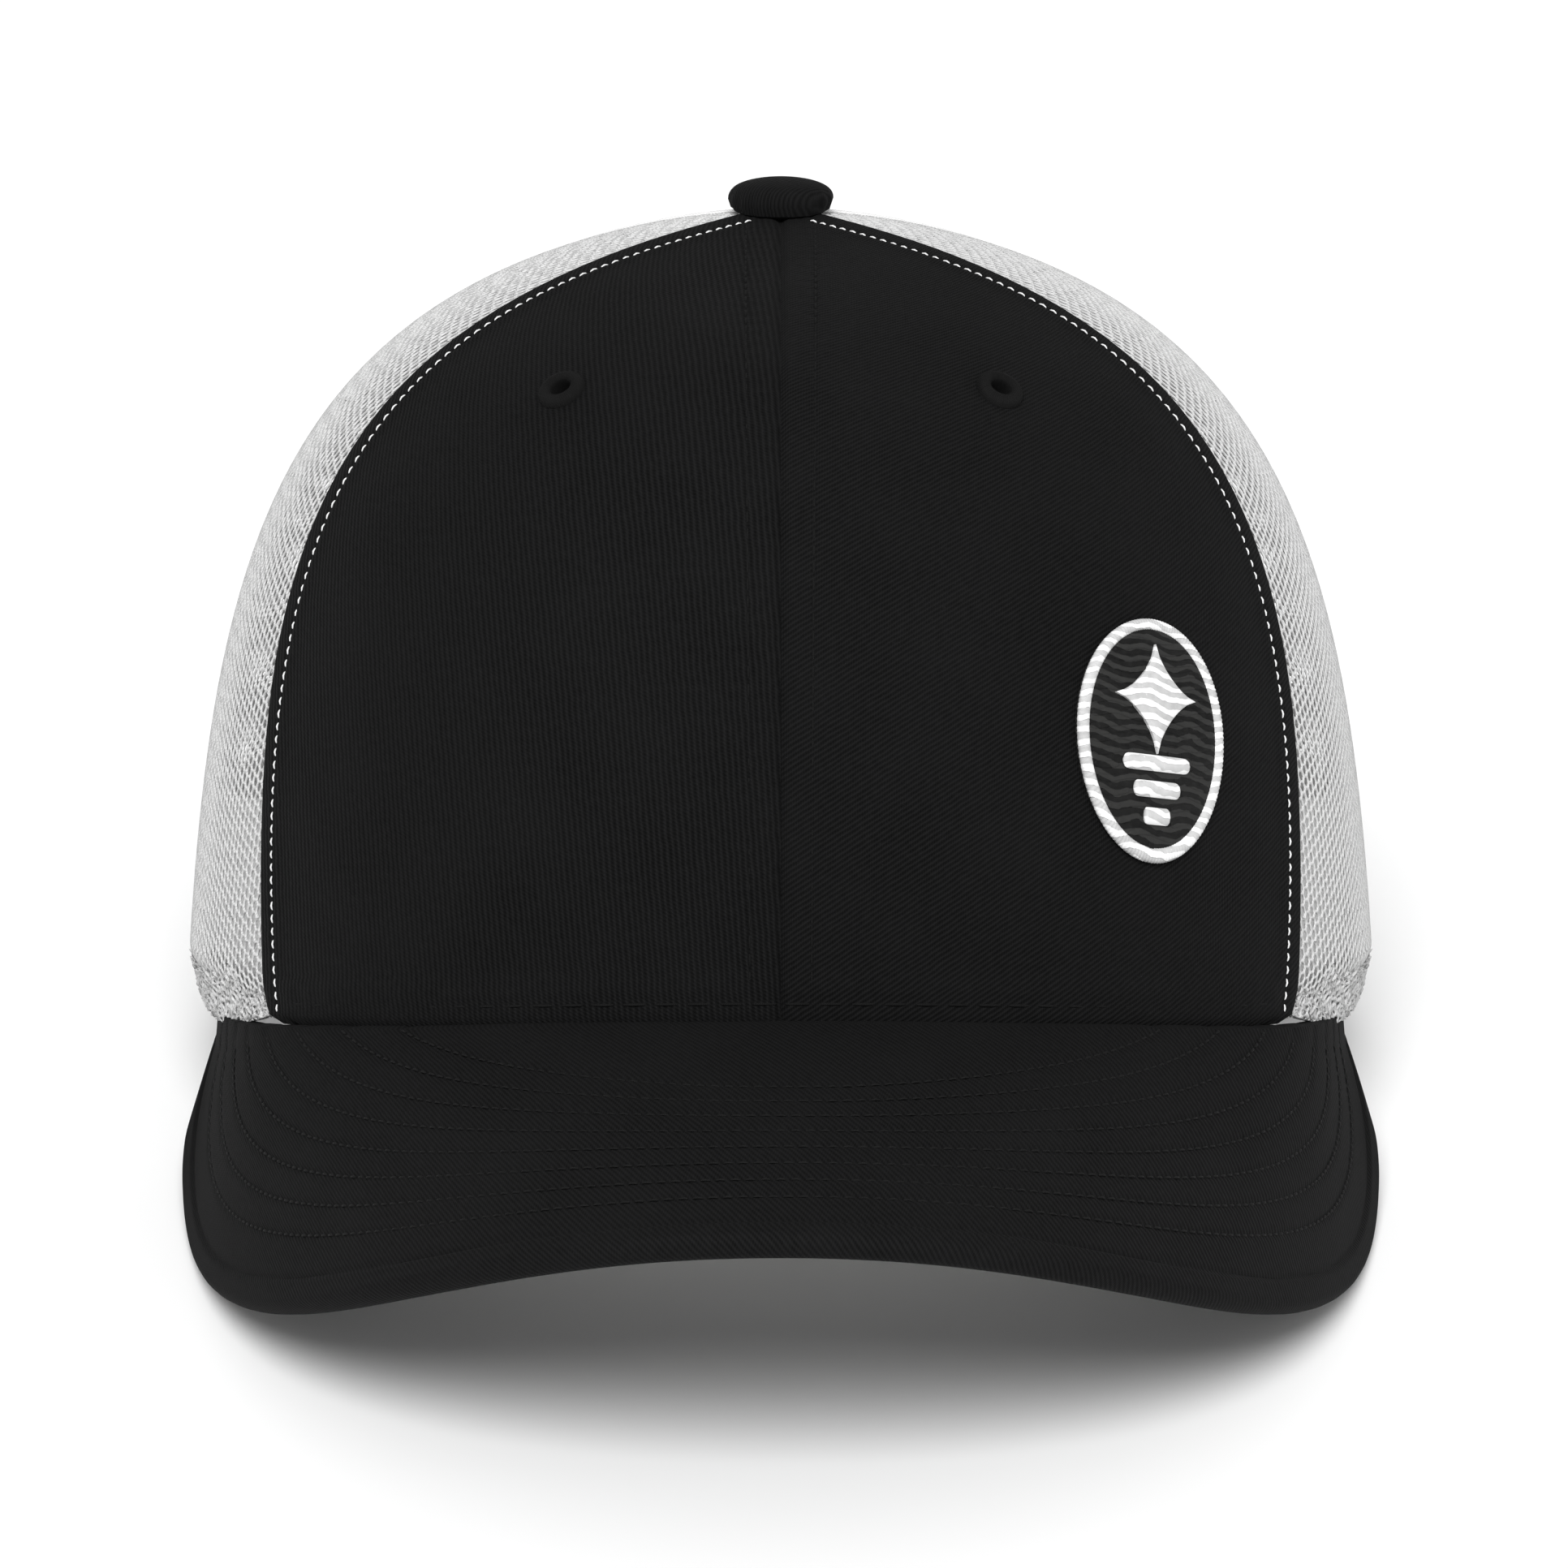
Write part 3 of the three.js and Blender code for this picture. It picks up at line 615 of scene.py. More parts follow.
class Effects:
    """Shader node groups that several finishes share. Each is made once."""

    WEAVE_INPUTS = (
        ("Cloth", "NodeSocketVector"), ("Pitch", "NodeSocketFloat"), ("Angle", "NodeSocketFloat"))
    LINT_INPUTS = (("Cloth", "NodeSocketVector"), ("Rub", "NodeSocketFloat"))
    WANDER_SCALE = 0.35
    UNEVEN_SCALE, UNEVEN_DETAIL, UNEVEN_SHARE = 0.9, 4.0, 0.4
    SPECKS = Cloud(1.7, 1.0, 0.68, 0.78, 0.0, 0.5)
    FADED = Cloud(0.06, 3.0, 0.35, 0.75, 0.0, 0.35)
    RUBBED = Cloud(0.5, 3.0, 0.3, 0.7, 0.2, 1.0)

    def __init__(self) -> None:
        """Builds every group."""
        self.groups = {
            Weave.TWILL: self._weave("twill_weave", Yarns.twill),
            Weave.PLAIN: self._weave("plain_weave", Yarns.plain),
            Weave.THREAD: self._weave("thread_twist", Yarns.thread),
            Weave.WAVES: self._weave("wavy_rows", Yarns.waves),
        }
        self.lint = self._lint()

    @staticmethod
    def _group(
        name: str, inputs: Sequence[tuple[str, str]], outputs: Sequence[str]
    ) -> tuple[Wiring, bpy.types.NodeOutputs, bpy.types.NodeInputs]:
        """Starts a node group.

        Args:
            name: The group's name.
            inputs: Name and kind of each input.
            outputs: Name of each output, all of them numbers.

        Returns:
            The group's wiring, the sockets that give its inputs and those that take its outputs.
        """
        tree = bpy.data.node_groups.new(name, "ShaderNodeTree")
        for socket, kind in inputs:
            tree.interface.new_socket(name=socket, in_out="INPUT", socket_type=kind)
        for socket in outputs:
            tree.interface.new_socket(
                name=socket, in_out="OUTPUT", socket_type="NodeSocketFloat")
        wiring = Wiring(tree)
        given = wiring.node("NodeGroupInput").outputs
        return wiring, given, wiring.node("NodeGroupOutput").inputs

    def _weave(self, name: str, draw: Callable[[Yarns], Socket]) -> bpy.types.NodeTree:
        """Group that gives the height and shade of a weave drawn by `draw`."""
        wiring, given, out = self._group(name, self.WEAVE_INPUTS, ("Height", "Shade"))
        turned = wiring.node("ShaderNodeVectorRotate", rotation_type="Z_AXIS")
        wiring.feed(turned.inputs["Vector"], given["Cloth"])
        wiring.feed(turned.inputs["Angle"], given["Angle"])
        apart = wiring.node("ShaderNodeSeparateXYZ")
        wiring.feed(apart.inputs[0], turned.outputs[0])
        wander = wiring.noise(given["Cloth"], self.WANDER_SCALE)
        height = draw(Yarns(wiring, apart.outputs[0], apart.outputs[1], given["Pitch"], wander))
        # Shade is the yarns' height, painted as shade in the hollows and highlight on the crests,
        # with random patchy tone mixed in.
        uneven = wiring.noise(given["Cloth"], self.UNEVEN_SCALE, self.UNEVEN_DETAIL)
        patchy = wiring.math("MULTIPLY", uneven, self.UNEVEN_SHARE)
        shade = wiring.math("MULTIPLY_ADD", height, 1 - self.UNEVEN_SHARE, patchy)
        wiring.feed(out["Height"], height)
        wiring.feed(out["Shade"], shade)
        return wiring.tree

    def _lint(self) -> bpy.types.NodeTree:
        """Group that says where cloth is faded, rubbed or has picked up lint."""
        wiring, given, out = self._group("lint_and_rub", self.LINT_INPUTS, ("Mask",))
        specks, faded, rub = (
            cloud.on(wiring, given["Cloth"]) for cloud in (self.SPECKS, self.FADED, self.RUBBED))
        rubbed = wiring.math("MULTIPLY", given["Rub"], rub)
        total = wiring.math("ADD", wiring.math("ADD", specks, faded), rubbed)
        wiring.feed(out["Mask"], wiring.math("MINIMUM", total, 1.0))
        return wiring.tree


EFFECTS = Effects()


@dataclass(frozen=True)
class Finish:
    """A material and the record's slot that its pieces carry."""

    name: str
    slot: str

    def material(self) -> bpy.types.Material:
        """Builds the material, or gives the one already built."""
        known = bpy.data.materials.get(self.name)
        if known:
            return known
        made = bpy.data.materials.new(self.name)
        made.use_nodes = True
        self.wire(Wiring(made.node_tree), made.node_tree.nodes["Principled BSDF"])
        return made

    def wire(self, wiring: Wiring, shader: bpy.types.Node) -> None:
        """Joins up the nodes in front of the shader."""
        raise NotImplementedError

    @staticmethod
    def bump(wiring: Wiring, shader: bpy.types.Node, height: Socket, relief: float) -> None:
        """Gives the shader a fine relief, in millimetres."""
        made = wiring.node("ShaderNodeBump")
        made.inputs["Strength"].default_value = 1.0
        made.inputs["Distance"].default_value = relief * MM
        wiring.feed(made.inputs["Height"], height)
        wiring.feed(shader.inputs["Normal"], made.outputs[0])


@dataclass(frozen=True)
class ClothFinish(Finish):
    """Woven or stitched textile."""

    low: Colour
    high: Colour
    rubbed: Colour
    weave: Weave = Weave.PLAIN
    pitch: float = 0.5
    angle: float = 0.0
    relief: float = 0.08
    roughness: float = 0.85
    sheen: float = 0.15
    gloss: float = 0.08

    LINT_STRENGTH = 0.7
    SHEEN_ROUGHNESS = 0.5

    def wire(self, wiring: Wiring, shader: bpy.types.Node) -> None:
        """Joins up weave, lint and wear."""
        cloth = wiring.node("ShaderNodeAttribute", attribute_name="cloth").outputs["Vector"]
        wear = wiring.node("ShaderNodeAttribute", attribute_name="wear").outputs["Fac"]
        weave = wiring.node("ShaderNodeGroup", node_tree=EFFECTS.groups[self.weave])
        wiring.feed(weave.inputs["Cloth"], cloth)
        weave.inputs["Pitch"].default_value = self.pitch
        weave.inputs["Angle"].default_value = math.radians(self.angle)
        lint = wiring.node("ShaderNodeGroup", node_tree=EFFECTS.lint)
        wiring.feed(lint.inputs["Cloth"], cloth)
        wiring.feed(lint.inputs["Rub"], wear)
        # The colour runs from low in the yarns' hollows to high on their crests: painted shade and
        # painted highlights of the weave, with random patchy tone mixed in.
        shade = wiring.ramp(weave.outputs["Shade"], 0.1, 0.9, 0.0, 1.0)
        mask = wiring.math("MULTIPLY", lint.outputs["Mask"], self.LINT_STRENGTH)
        colour = wiring.mix(mask, wiring.mix(shade, self.low, self.high), self.rubbed)
        wiring.feed(shader.inputs["Base Color"], colour)
        rough, smoother = min(1.0, self.roughness + 0.08), self.roughness - 0.06
        wiring.feed(shader.inputs["Roughness"], wiring.ramp(shade, 0.0, 1.0, rough, smoother))
        self.bump(wiring, shader, weave.outputs["Height"], self.relief)
        shader.inputs["Sheen Weight"].default_value = self.sheen
        shader.inputs["Sheen Roughness"].default_value = self.SHEEN_ROUGHNESS
        shader.inputs["Specular IOR Level"].default_value = self.gloss


@dataclass(frozen=True)
class HardFinish(Finish):
    """Moulded plastic or metal, with fine grain and scuffs."""

    colour: Colour
    scuffed: Colour
    roughness: float
    metallic: float = 0.0
    grain: float = 900.0
    relief: float = 0.02

    def wire(self, wiring: Wiring, shader: bpy.types.Node) -> None:
        """Joins up grain and scuffs."""
        place = wiring.node("ShaderNodeTexCoord").outputs["Object"]
        grain = wiring.noise(place, self.grain, 3.0)
        scuffs = Cloud(self.grain / 9, 4.0, 0.55, 0.75).on(wiring, place)
        wiring.feed(shader.inputs["Base Color"], wiring.mix(scuffs, self.colour, self.scuffed))
        rough = min(1.0, self.roughness + 0.2)
        wiring.feed(
            shader.inputs["Roughness"], wiring.ramp(scuffs, 0.0, 1.0, self.roughness, rough))
        self.bump(wiring, shader, grain, self.relief)
        shader.inputs["Metallic"].default_value = self.metallic


def grey(value: float) -> Colour:
    """Colour without a hue."""
    return value, value, value


VISOR_TWILL = ClothFinish(
    "visor_twill", "black_twill", grey(0.0006), (0.0085, 0.0085, 0.0087), (0.01, 0.01, 0.0103),
    weave=Weave.TWILL, pitch=0.68, angle=40, relief=0.07, sheen=0.004)
PANEL_RIGHT = replace(VISOR_TWILL, name="crown_twill_right", pitch=0.88, angle=-4, relief=0.2)
PANEL_LEFT = replace(VISOR_TWILL, name="crown_twill_left", angle=58, relief=0.15)
BUTTON_TWILL = replace(VISOR_TWILL, name="button_twill", relief=0.09)
NET_YARN = ClothFinish(
    "net_yarn", "white_net", grey(0.48), grey(0.68), (0.65, 0.65, 0.64),
    weave=Weave.THREAD, pitch=0.45, angle=20, relief=0.05, roughness=0.7, sheen=0.05)
HEM_YARN = ClothFinish(
    "net_hem_yarn", "white_net", grey(0.6), grey(0.82), (0.75, 0.75, 0.74),
    pitch=1.1, angle=35, relief=0.3, roughness=0.75, sheen=0.05)
BINDING_TAPE = ClothFinish(
    "binding_tape", "white_binding", grey(0.62), grey(0.88), (0.8, 0.79, 0.78),
    pitch=0.55, relief=0.1)
INNER_TAPE = replace(
    BINDING_TAPE, name="inner_seam_tape", slot="seam_tape",
    weave=Weave.TWILL, pitch=0.6, angle=45, relief=0.08)
SWEAT_CLOTH = replace(
    BINDING_TAPE, name="sweatband_twill", slot="sweatband_cloth",
    weave=Weave.TWILL, pitch=0.5, angle=50, relief=0.08, roughness=0.9, sheen=0.25)
BACKING = ClothFinish(
    "buckram_backing", "buckram", (0.55, 0.54, 0.5), (0.8, 0.79, 0.75), (0.7, 0.69, 0.64),
    pitch=0.9, relief=0.15, roughness=0.9, sheen=0.05)
BLACK_STITCH = ClothFinish(
    "black_sewing_thread", "black_thread", grey(0.003), grey(0.009), grey(0.014),
    weave=Weave.THREAD, pitch=0.25, relief=0.04, roughness=0.7, sheen=0.004)
# The quilting is sewn with the same black thread as elsewhere; its darker low and lighter high
# tones are painted shade and painted glints on the plies.
VISOR_STITCH = replace(
    BLACK_STITCH, name="visor_quilting_thread", low=grey(0.002), high=grey(0.012),
    rubbed=grey(0.015), roughness=0.6, sheen=0.006, gloss=0.1)
WHITE_STITCH = replace(
    BLACK_STITCH, name="white_sewing_thread", slot="white_binding", low=grey(0.7),
    high=grey(0.95), rubbed=BINDING_TAPE.rubbed, roughness=0.55, sheen=0.2)
# Both badge threads run in wavy satin rows: the high tone is a painted highlight where a row
# catches the light, the low tone painted shade between rows.
BADGE_WHITE = ClothFinish(
    "badge_white_thread", "badge_thread", grey(0.4), grey(0.86), grey(0.86),
    weave=Weave.WAVES, pitch=1.75, angle=4, roughness=0.5, sheen=0.05)
BADGE_GREY = replace(
    BADGE_WHITE, name="badge_dark_thread", low=grey(0.004), high=(0.03, 0.03, 0.029),
    rubbed=grey(0.03), sheen=0.01)
LABEL_SATIN = ClothFinish(
    "label_satin", "label_cloth", (0.7, 0.7, 0.69), (0.88, 0.88, 0.87), BINDING_TAPE.rubbed,
    pitch=0.3, relief=0.04, roughness=0.5, sheen=0.3)
STRAP_PLASTIC = HardFinish(
    "strap_moulding", "strap_plastic", (0.014, 0.014, 0.015), (0.026, 0.026, 0.027), 0.42)
BOARD_PLASTIC = HardFinish(
    "visor_board_sheet", "visor_board_plastic", (0.7, 0.7, 0.68), (0.62, 0.62, 0.6), 0.55)
NICKEL = HardFinish(
    "nickel_plate", "plated_steel", (0.62, 0.62, 0.63), grey(0.5), 0.3,
    metallic=1.0, grain=1500.0, relief=0.01)


# ------------------------------------------------------------------ the maker's bench


@dataclass(frozen=True)
class Bend:
    """Where a piece would bend between the crown and a moving body: still at start, moving at end.
    Only its ends are given here; no bend is set up.
    """

    body: Body
    start: Vector
    end: Vector


CREASE = Bend(
    Body.VISOR, PLACING.point(0.0, -20.0, 0.0), PLACING.point(0.0, -38.25, -16.25))


class Bench:
    """Turns shapes into objects, dresses them and ties them to bodies."""

    @staticmethod
    def mesh(name: str, shape: Shape, sharp: float) -> bpy.types.Mesh:
        """Mesh of a shape, with its cloth coordinates and its wear as attributes."""
        made = bpy.data.meshes.new(name)
        sizes = np.concatenate([np.full(len(g), g.shape[1]) for g in shape.faces])
        loops = np.concatenate([group.ravel() for group in shape.faces])
        made.vertices.add(len(shape.points))
        made.vertices.foreach_set("co", PLACING.world(shape.points).astype(np.float32).ravel())
        made.loops.add(len(loops))
        made.loops.foreach_set("vertex_index", loops.astype(np.int32))
        made.polygons.add(len(sizes))
        starts = np.concatenate([[0], np.cumsum(sizes)[:-1]])
        made.polygons.foreach_set("loop_start", starts.astype(np.int32))
        cloth = made.attributes.new("cloth", "FLOAT_VECTOR", "POINT")
        flat = np.concatenate([shape.cloth, np.zeros((len(shape.cloth), 1))], 1)
        cloth.data.foreach_set("vector", flat.astype(np.float32).ravel())
        wear = made.attributes.new("wear", "FLOAT", "POINT")
        wear.data.foreach_set("value", shape.wear.astype(np.float32))
        made.update(calc_edges=True)
        made.validate()
        made.polygons.foreach_set("use_smooth", np.ones(len(made.polygons), bool))
        made.set_sharp_from_angle(angle=math.radians(sharp))
        return made

    def make(
        self,
        name: str,
        shape: Shape,
        finish: Finish,
        rides: Body | Bend,
        replaces: Sequence[str] = (),
        sharp: float = 45.0,
    ) -> bpy.types.Object:
        """Makes one piece.

        Args:
            name: The piece's name.
            shape: Its shape in the crown's frame.
            finish: What it is made of.
            rides: The body that it moves with; for a Bend, the piece is only fixed where it is,
                tied to no body and not bent.
            replaces: CAD nodes that it stands for.
            sharp: Edges that turn further than this, in degrees, stay sharp.

        Returns:
            The object.
        """
        mesh = self.mesh(name, shape, sharp)
        mesh.materials.append(finish.material())
        piece = bpy.data.objects.new(name, mesh)
        bpy.context.scene.collection.objects.link(piece)
        if isinstance(rides, Bend):
            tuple(rides.start)
            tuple(rides.end)
            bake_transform(piece)
        else:
            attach(piece, rides.value)
        if replaces:
            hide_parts(*replaces)
        LOG.info("%s: %d faces of %s", name, len(mesh.polygons), finish.name)
        return piece

    def dress(self, node: str, finish: Finish) -> None:
        """Gives a CAD node that stays a better material."""
        materials = frame["nodes"][node].data.materials
        materials.clear()
        materials.append(finish.material())
        LOG.info("%s: kept, in %s", node, finish.name)


@dataclass(frozen=True)
class Stitch:
    """One kind of stitching."""

    length: float
    pitch: float
    width: float
    rise: float = 0.16
    sink: float = 0.06

    RINGS = np.array([-1.0, -0.75, 0.0, 0.75, 1.0])
    FULLNESS = np.array([0.35, 0.85, 1.0, 0.85, 0.35])
    CORNERS = 6
    UNEVEN_LENGTH = 0.06
    UNEVEN_TURN = 0.05
    FLATNESS = 0.36

    def row(self, points: Array, normals: Array) -> Shape:
        """A row of stitches along a line.

        Args:
            points: Closely spaced points of the line on the cloth's face.
            normals: Outward directions there.

        Returns:
            All the stitches of the row.
        """
        steps = np.linalg.norm(np.diff(points, axis=0), axis=1)
        along = np.concatenate([[0.0], np.cumsum(steps)])
        count = max(1, int(along[-1] // self.pitch))
        centres = (np.arange(count) + 0.5) * along[-1] / count
        random = np.random.default_rng(SEED + count)
        uneven = random.uniform(-self.UNEVEN_LENGTH, self.UNEVEN_LENGTH, count)
        half = self.length / 2 * (1 + uneven)

        def at(values: Array, where: Array) -> Array:
            """Values read at distances along the line."""
            return np.stack([np.interp(where, along, values[:, k]) for k in range(3)], -1)

        places = [at(points, centres + ring * half) for ring in self.RINGS]
        up = unit(at(normals, centres))
        ahead = unit(places[-1] - places[0])
        side = np.cross(ahead, up)
        turned = random.uniform(-self.UNEVEN_TURN, self.UNEVEN_TURN, (count, 1))
        side = unit(side + ahead * turned)
        angle = np.arange(self.CORNERS) * TURN / self.CORNERS
        rings = []
        for ring, full, place in zip(self.RINGS, self.FULLNESS, places):
            lift = self.rise * (1 - ring * ring) - self.sink
            across = np.cos(angle)[None, :, None] * side[:, None, :] * full * self.width / 2
            upward = np.sin(angle)[None, :, None] * up[:, None, :] * full
            upward = upward * self.width * self.FLATNESS
            rings.append((place + up * lift)[:, None, :] + across + upward)
        vertices = np.stack(rings, 1)
        one = grid_faces(len(self.RINGS), self.CORNERS, around=True)
        block = len(self.RINGS) * self.CORNERS
        start = (np.arange(count) * block)[:, None, None]
        end = np.arange(self.CORNERS)
        caps = np.stack([end[::-1], end + block - self.CORNERS])
        lengths = centres[:, None, None] + self.RINGS[None, :, None] * half[:, None, None]
        around = angle[None, None, :] * self.width / 2
        cloth = np.stack(np.broadcast_arrays(lengths, around), -1)
        faces = [
            (one[None] + start).reshape(-1, 4),
            (caps[None] + start).reshape(-1, self.CORNERS),
        ]
        return Shape.of(vertices, faces, cloth).facing_out()


def along_crown(u: Array, t: Array, offset: Array | float) -> tuple[Array, Array]:
    """Points and normals of a line on the crown."""
    u, t = np.broadcast_arrays(u, t)
    return CROWN.on(u, t, np.broadcast_to(offset, u.shape)), CROWN.normal(u, t)


# ------------------------------------------------------------------ the front


@dataclass
class FrontPanels:
    """The two stiffened cloth panels at the front, with their backing and stitching."""

    bench: Bench
    thickness: float = 0.9
    rows: int = 190
    cols: int = 140
    seam_hole: float = 3.2
    lap: float = 1.5
    allowance: float = 5.6
    centre_rows: float = 4.6
    side_row: float = 4.1
    hem_row: float = 3.0
    centre_lift: float = 0.16
    side_lift: float = 0.28
    hem_lift: float = 0.35
    row_sink: float = 0.12
    hem_row_sink: float = 0.18
    thinnest: float = 0.12
    deepest: float = -0.2
    edge_thickness: float = 0.35
    backing_faces: tuple[float, float] = (-1.25, -2.15)
    backing_gap: float = 0.25
    backing_inset: float = 1.2
    backing_clearance: float = 0.6
    button_edge: float = 8.2
    corner: float = 4.2
    corner_height: float = 4.6
    eyelet_azimuth: float = 27.7
    eyelet_level: float = 0.559
    eyelet_hole: float = 2.0

    WHITE_ROW = Stitch(1.2, 1.85, 0.35, 0.18, 0.02)
    BLACK_ROW = Stitch(1.9, 2.5, 0.36, 0.14, 0.05)
    HEM_ROW = Stitch(3.3, 4.6, 0.42, 0.14, 0.05)

    def side_azimuth(self, t: Array, inset: float = 0.0) -> Array:
        """Azimuth of the panel's free side, rounded off at the hem."""
        u = CROWN.front_side(t)
        height = ARCS.arc(u, t)
        low = np.clip(1 - height / self.corner_height, 0, 1)
        cut = self.corner * (1 - np.sqrt(1 - low**2 + 1e-9))
        return u - (inset + cut - self.lap) / CROWN.radius(u, t)

    def relief(self, centre: Array, side: Array, height: Array) -> Array:
        """How far the cloth's face stands out.

        Args:
            centre: Distance from the centre seam.
            side: Distance from the free side.
            height: Distance above the hem.

        Returns:
            Offset of the outer face from the crown's surface.
        """
        fold = self.allowance
        centre_fold = self.centre_lift * (1 - smooth(fold - 1.4, fold + 1.2, centre))
        side_fold = self.side_lift * (1 - smooth(fold - 1.6, fold + 1.4, side))
        hem_fold = self.hem_lift * (1 - smooth(5.6, 7.0, height))
        folds = np.maximum(centre_fold, np.maximum(side_fold, hem_fold))
        rows = (
            0.14 * bell(centre - self.centre_rows, 0.5)
            + 0.2 * bell(side - self.side_row, 0.5)
            + 0.22 * bell(height - self.hem_row, 0.5)
        )
        pucker = 0.05 * np.sin(TURN * height / 3.1) * bell(centre - 4.2, 2.6)
        pucker += 0.05 * np.sin(TURN * height / 3.7) * bell(side - 3.6, 2.4)
        pucker += 0.09 * np.sin(TURN * centre / 4.6) * bell(height - 3.6, 1.8)
        ease = 0.18 * np.sin(centre / 14 + height / 23) * np.sin(height / 17 - centre / 31)
        seam = 0.7 * bell(centre, 0.65)
        edge = 0.45 * (1 - np.sqrt(1 - np.clip(1 - side / 0.5, 0, 1) ** 2))
        bottom = 0.7 * (1 - np.sqrt(1 - np.clip(1 - height / 0.9, 0, 1) ** 2))
        return folds - rows + pucker + ease - seam - edge - bottom

    def top_level(self) -> float:
        """Level at which a panel ends, under the button."""
        return float(CROWN.level_at_radius(math.radians(25), self.seam_hole))

    def lattice(self, mirror: int) -> tuple[Array, Array, Array, Array, Array]:
        """Azimuths, levels and distances from centre, side and hem over one panel."""
        across = np.linspace(0, 1, self.cols)[None, :]
        t = np.linspace(0, self.top_level(), self.rows)[:, None]
        u = across * self.side_azimuth(t)
        t = np.broadcast_to(t, u.shape)
        radius = CROWN.radius(u, t)
        centre = u * radius
        side = (self.side_azimuth(t) - u) * radius
        height = ARCS.arc(u, t)
        return mirror * u, t, centre, side, height

    def eyelet_centre(self, mirror: int) -> tuple[Array, Array]:
        """Place of an eyelet and the direction that it faces."""
        u = mirror * math.radians(self.eyelet_azimuth)
        return CROWN.point(u, self.eyelet_level), CROWN.normal(u, self.eyelet_level)

    def pierced(self, made: Shape, mirror: int, radius: float) -> Shape:
        """The sheet with a round hole where its eyelet goes."""
        middle, normal = self.eyelet_centre(mirror)
        quads = made.faces[0]
        away = made.points[quads].mean(1) - middle
        away -= (away @ normal)[:, None] * normal
        made.faces = [quads[np.linalg.norm(away, axis=1) > radius]]
        return made

    def panel(self, mirror: int) -> Shape:
        """One front panel, with the hole for its eyelet."""
        u, t, centre, side, height = self.lattice(mirror)
        face = self.relief(centre, side, height)
        inner = np.maximum(face, self.deepest) - self.thickness
        inner = np.minimum(face - self.thinnest, inner)
        inner = np.where(side < 0.5, np.maximum(inner, face - self.edge_thickness), inner)
        cloth = np.stack([mirror * centre, height], -1)
        wear = 0.6 * bell(height - 0.4, 0.8) + 0.35 * bell(side - 0.2, 0.5)
        made = shell(CROWN.on(u, t, face), CROWN.on(u, t, inner), cloth, wear)
        return self.pierced(made, mirror, self.eyelet_hole)

    def backing(self, mirror: int) -> Shape:
        """Stiff backing behind one panel."""
        across = np.linspace(0, 1, 60)[None, :]
        t = np.linspace(0.006, self.top_level(), 90)[:, None]
        start = self.backing_gap / CROWN.radius(np.zeros_like(t), t)
        seam = CROWN.front_side(t)
        u = lerp(start, seam - self.backing_inset / CROWN.radius(seam, t), across)
        t = np.broadcast_to(t, u.shape)
        cloth = np.stack([u * CROWN.radius(u, t), ARCS.arc(u, t)], -1)
        outer, inner = (CROWN.on(mirror * u, t, face) for face in self.backing_faces)
        hole = self.eyelet_hole + self.backing_clearance
        return self.pierced(shell(outer, inner, cloth), mirror, hole)

    def row_at_side(self, mirror: int) -> Shape:
        """White stitches along the free side."""
        t = np.linspace(0.004, 0.985, 1400)
        seam = CROWN.front_side(t)
        u = seam - (self.side_row - self.lap) / CROWN.radius(seam, t)
        keep = (ARCS.arc(u, t) > self.WHITE_ROW.length) & (CROWN.radius(u, t) > self.button_edge)
        face = self.side_lift - self.row_sink
        return self.WHITE_ROW.row(*along_crown(mirror * u[keep], t[keep], face))

    def row_beside_centre(self, mirror: int) -> Shape:
        """Black stitches beside the centre seam."""
        t = np.linspace(0.02, 0.985, 1400)
        u = self.centre_rows / CROWN.radius(np.zeros_like(t), t)
        keep = CROWN.radius(u, t) > self.button_edge
        face = self.centre_lift - self.row_sink
        return self.BLACK_ROW.row(*along_crown(mirror * u[keep], t[keep], face))

    def row_at_hem(self) -> Shape:
        """Black stitches above the front edge."""
        u = np.radians(np.linspace(-51.5, 51.5, 900))
        t = ARCS.level(u, self.hem_row)
        return self.HEM_ROW.row(*along_crown(u, t, self.hem_lift - self.hem_row_sink))

    def eyelet(self, mirror: int) -> Shape:
        """Ring worked in thread round a ventilation hole."""
        bore, flange, threads, steps = 1.45, 3.4, 30, 180
        profile = [(bore, -2.4), (bore, 0.3), (bore + 0.12, 0.85), (bore + 0.55, 1.22),
                   (2.45, 1.3), (3.0, 1.08), (flange, 0.6), (flange + 0.12, -0.05),
                   (bore + 0.35, -0.3), (bore + 0.35, -2.4)]
        made = spun(profile, steps)
        angle = np.arctan2(made.points[:, 1], made.points[:, 0])
        raised = smooth(0.2, 0.9, made.points[:, 2])
        ridge = 0.07 * np.abs(np.sin(threads * angle)) * raised
        made.points[:, 2] += ridge
        made.points[:, :2] *= 1 + (ridge * 0.25)[:, None]
        made.cloth = np.stack([angle * threads * 0.45 / TURN * 2, made.cloth[:, 1]], -1)
        middle, normal = self.eyelet_centre(mirror)
        across = unit(np.cross(UP, normal))
        return placed(made, middle, across, np.cross(normal, across), normal)

    def build(self) -> None:
        """Makes and dresses both panels and their stitching."""
        make = self.bench.make
        for (hand, mirror), finish in zip(SIDES, (PANEL_LEFT, PANEL_RIGHT)):
            make(f"front_cloth_{hand}", self.panel(mirror), finish, CREASE,
                 [f"front_panel_{hand}"])
            make(f"front_backing_{hand}", self.backing(mirror), BACKING, CREASE,
                 [f"buckram_{hand}"])
            make(f"side_topstitch_{hand}", self.row_at_side(mirror), WHITE_STITCH, CREASE)
            make(f"centre_topstitch_{hand}", self.row_beside_centre(mirror), BLACK_STITCH, CREASE)
            make(f"eyelet_ring_{hand}", self.eyelet(mirror), BLACK_STITCH, CREASE,
                 [f"eyelet_{hand}"])
        make("front_hem_stitch", self.row_at_hem(), BLACK_STITCH, CREASE)


# ------------------------------------------------------------------ the net


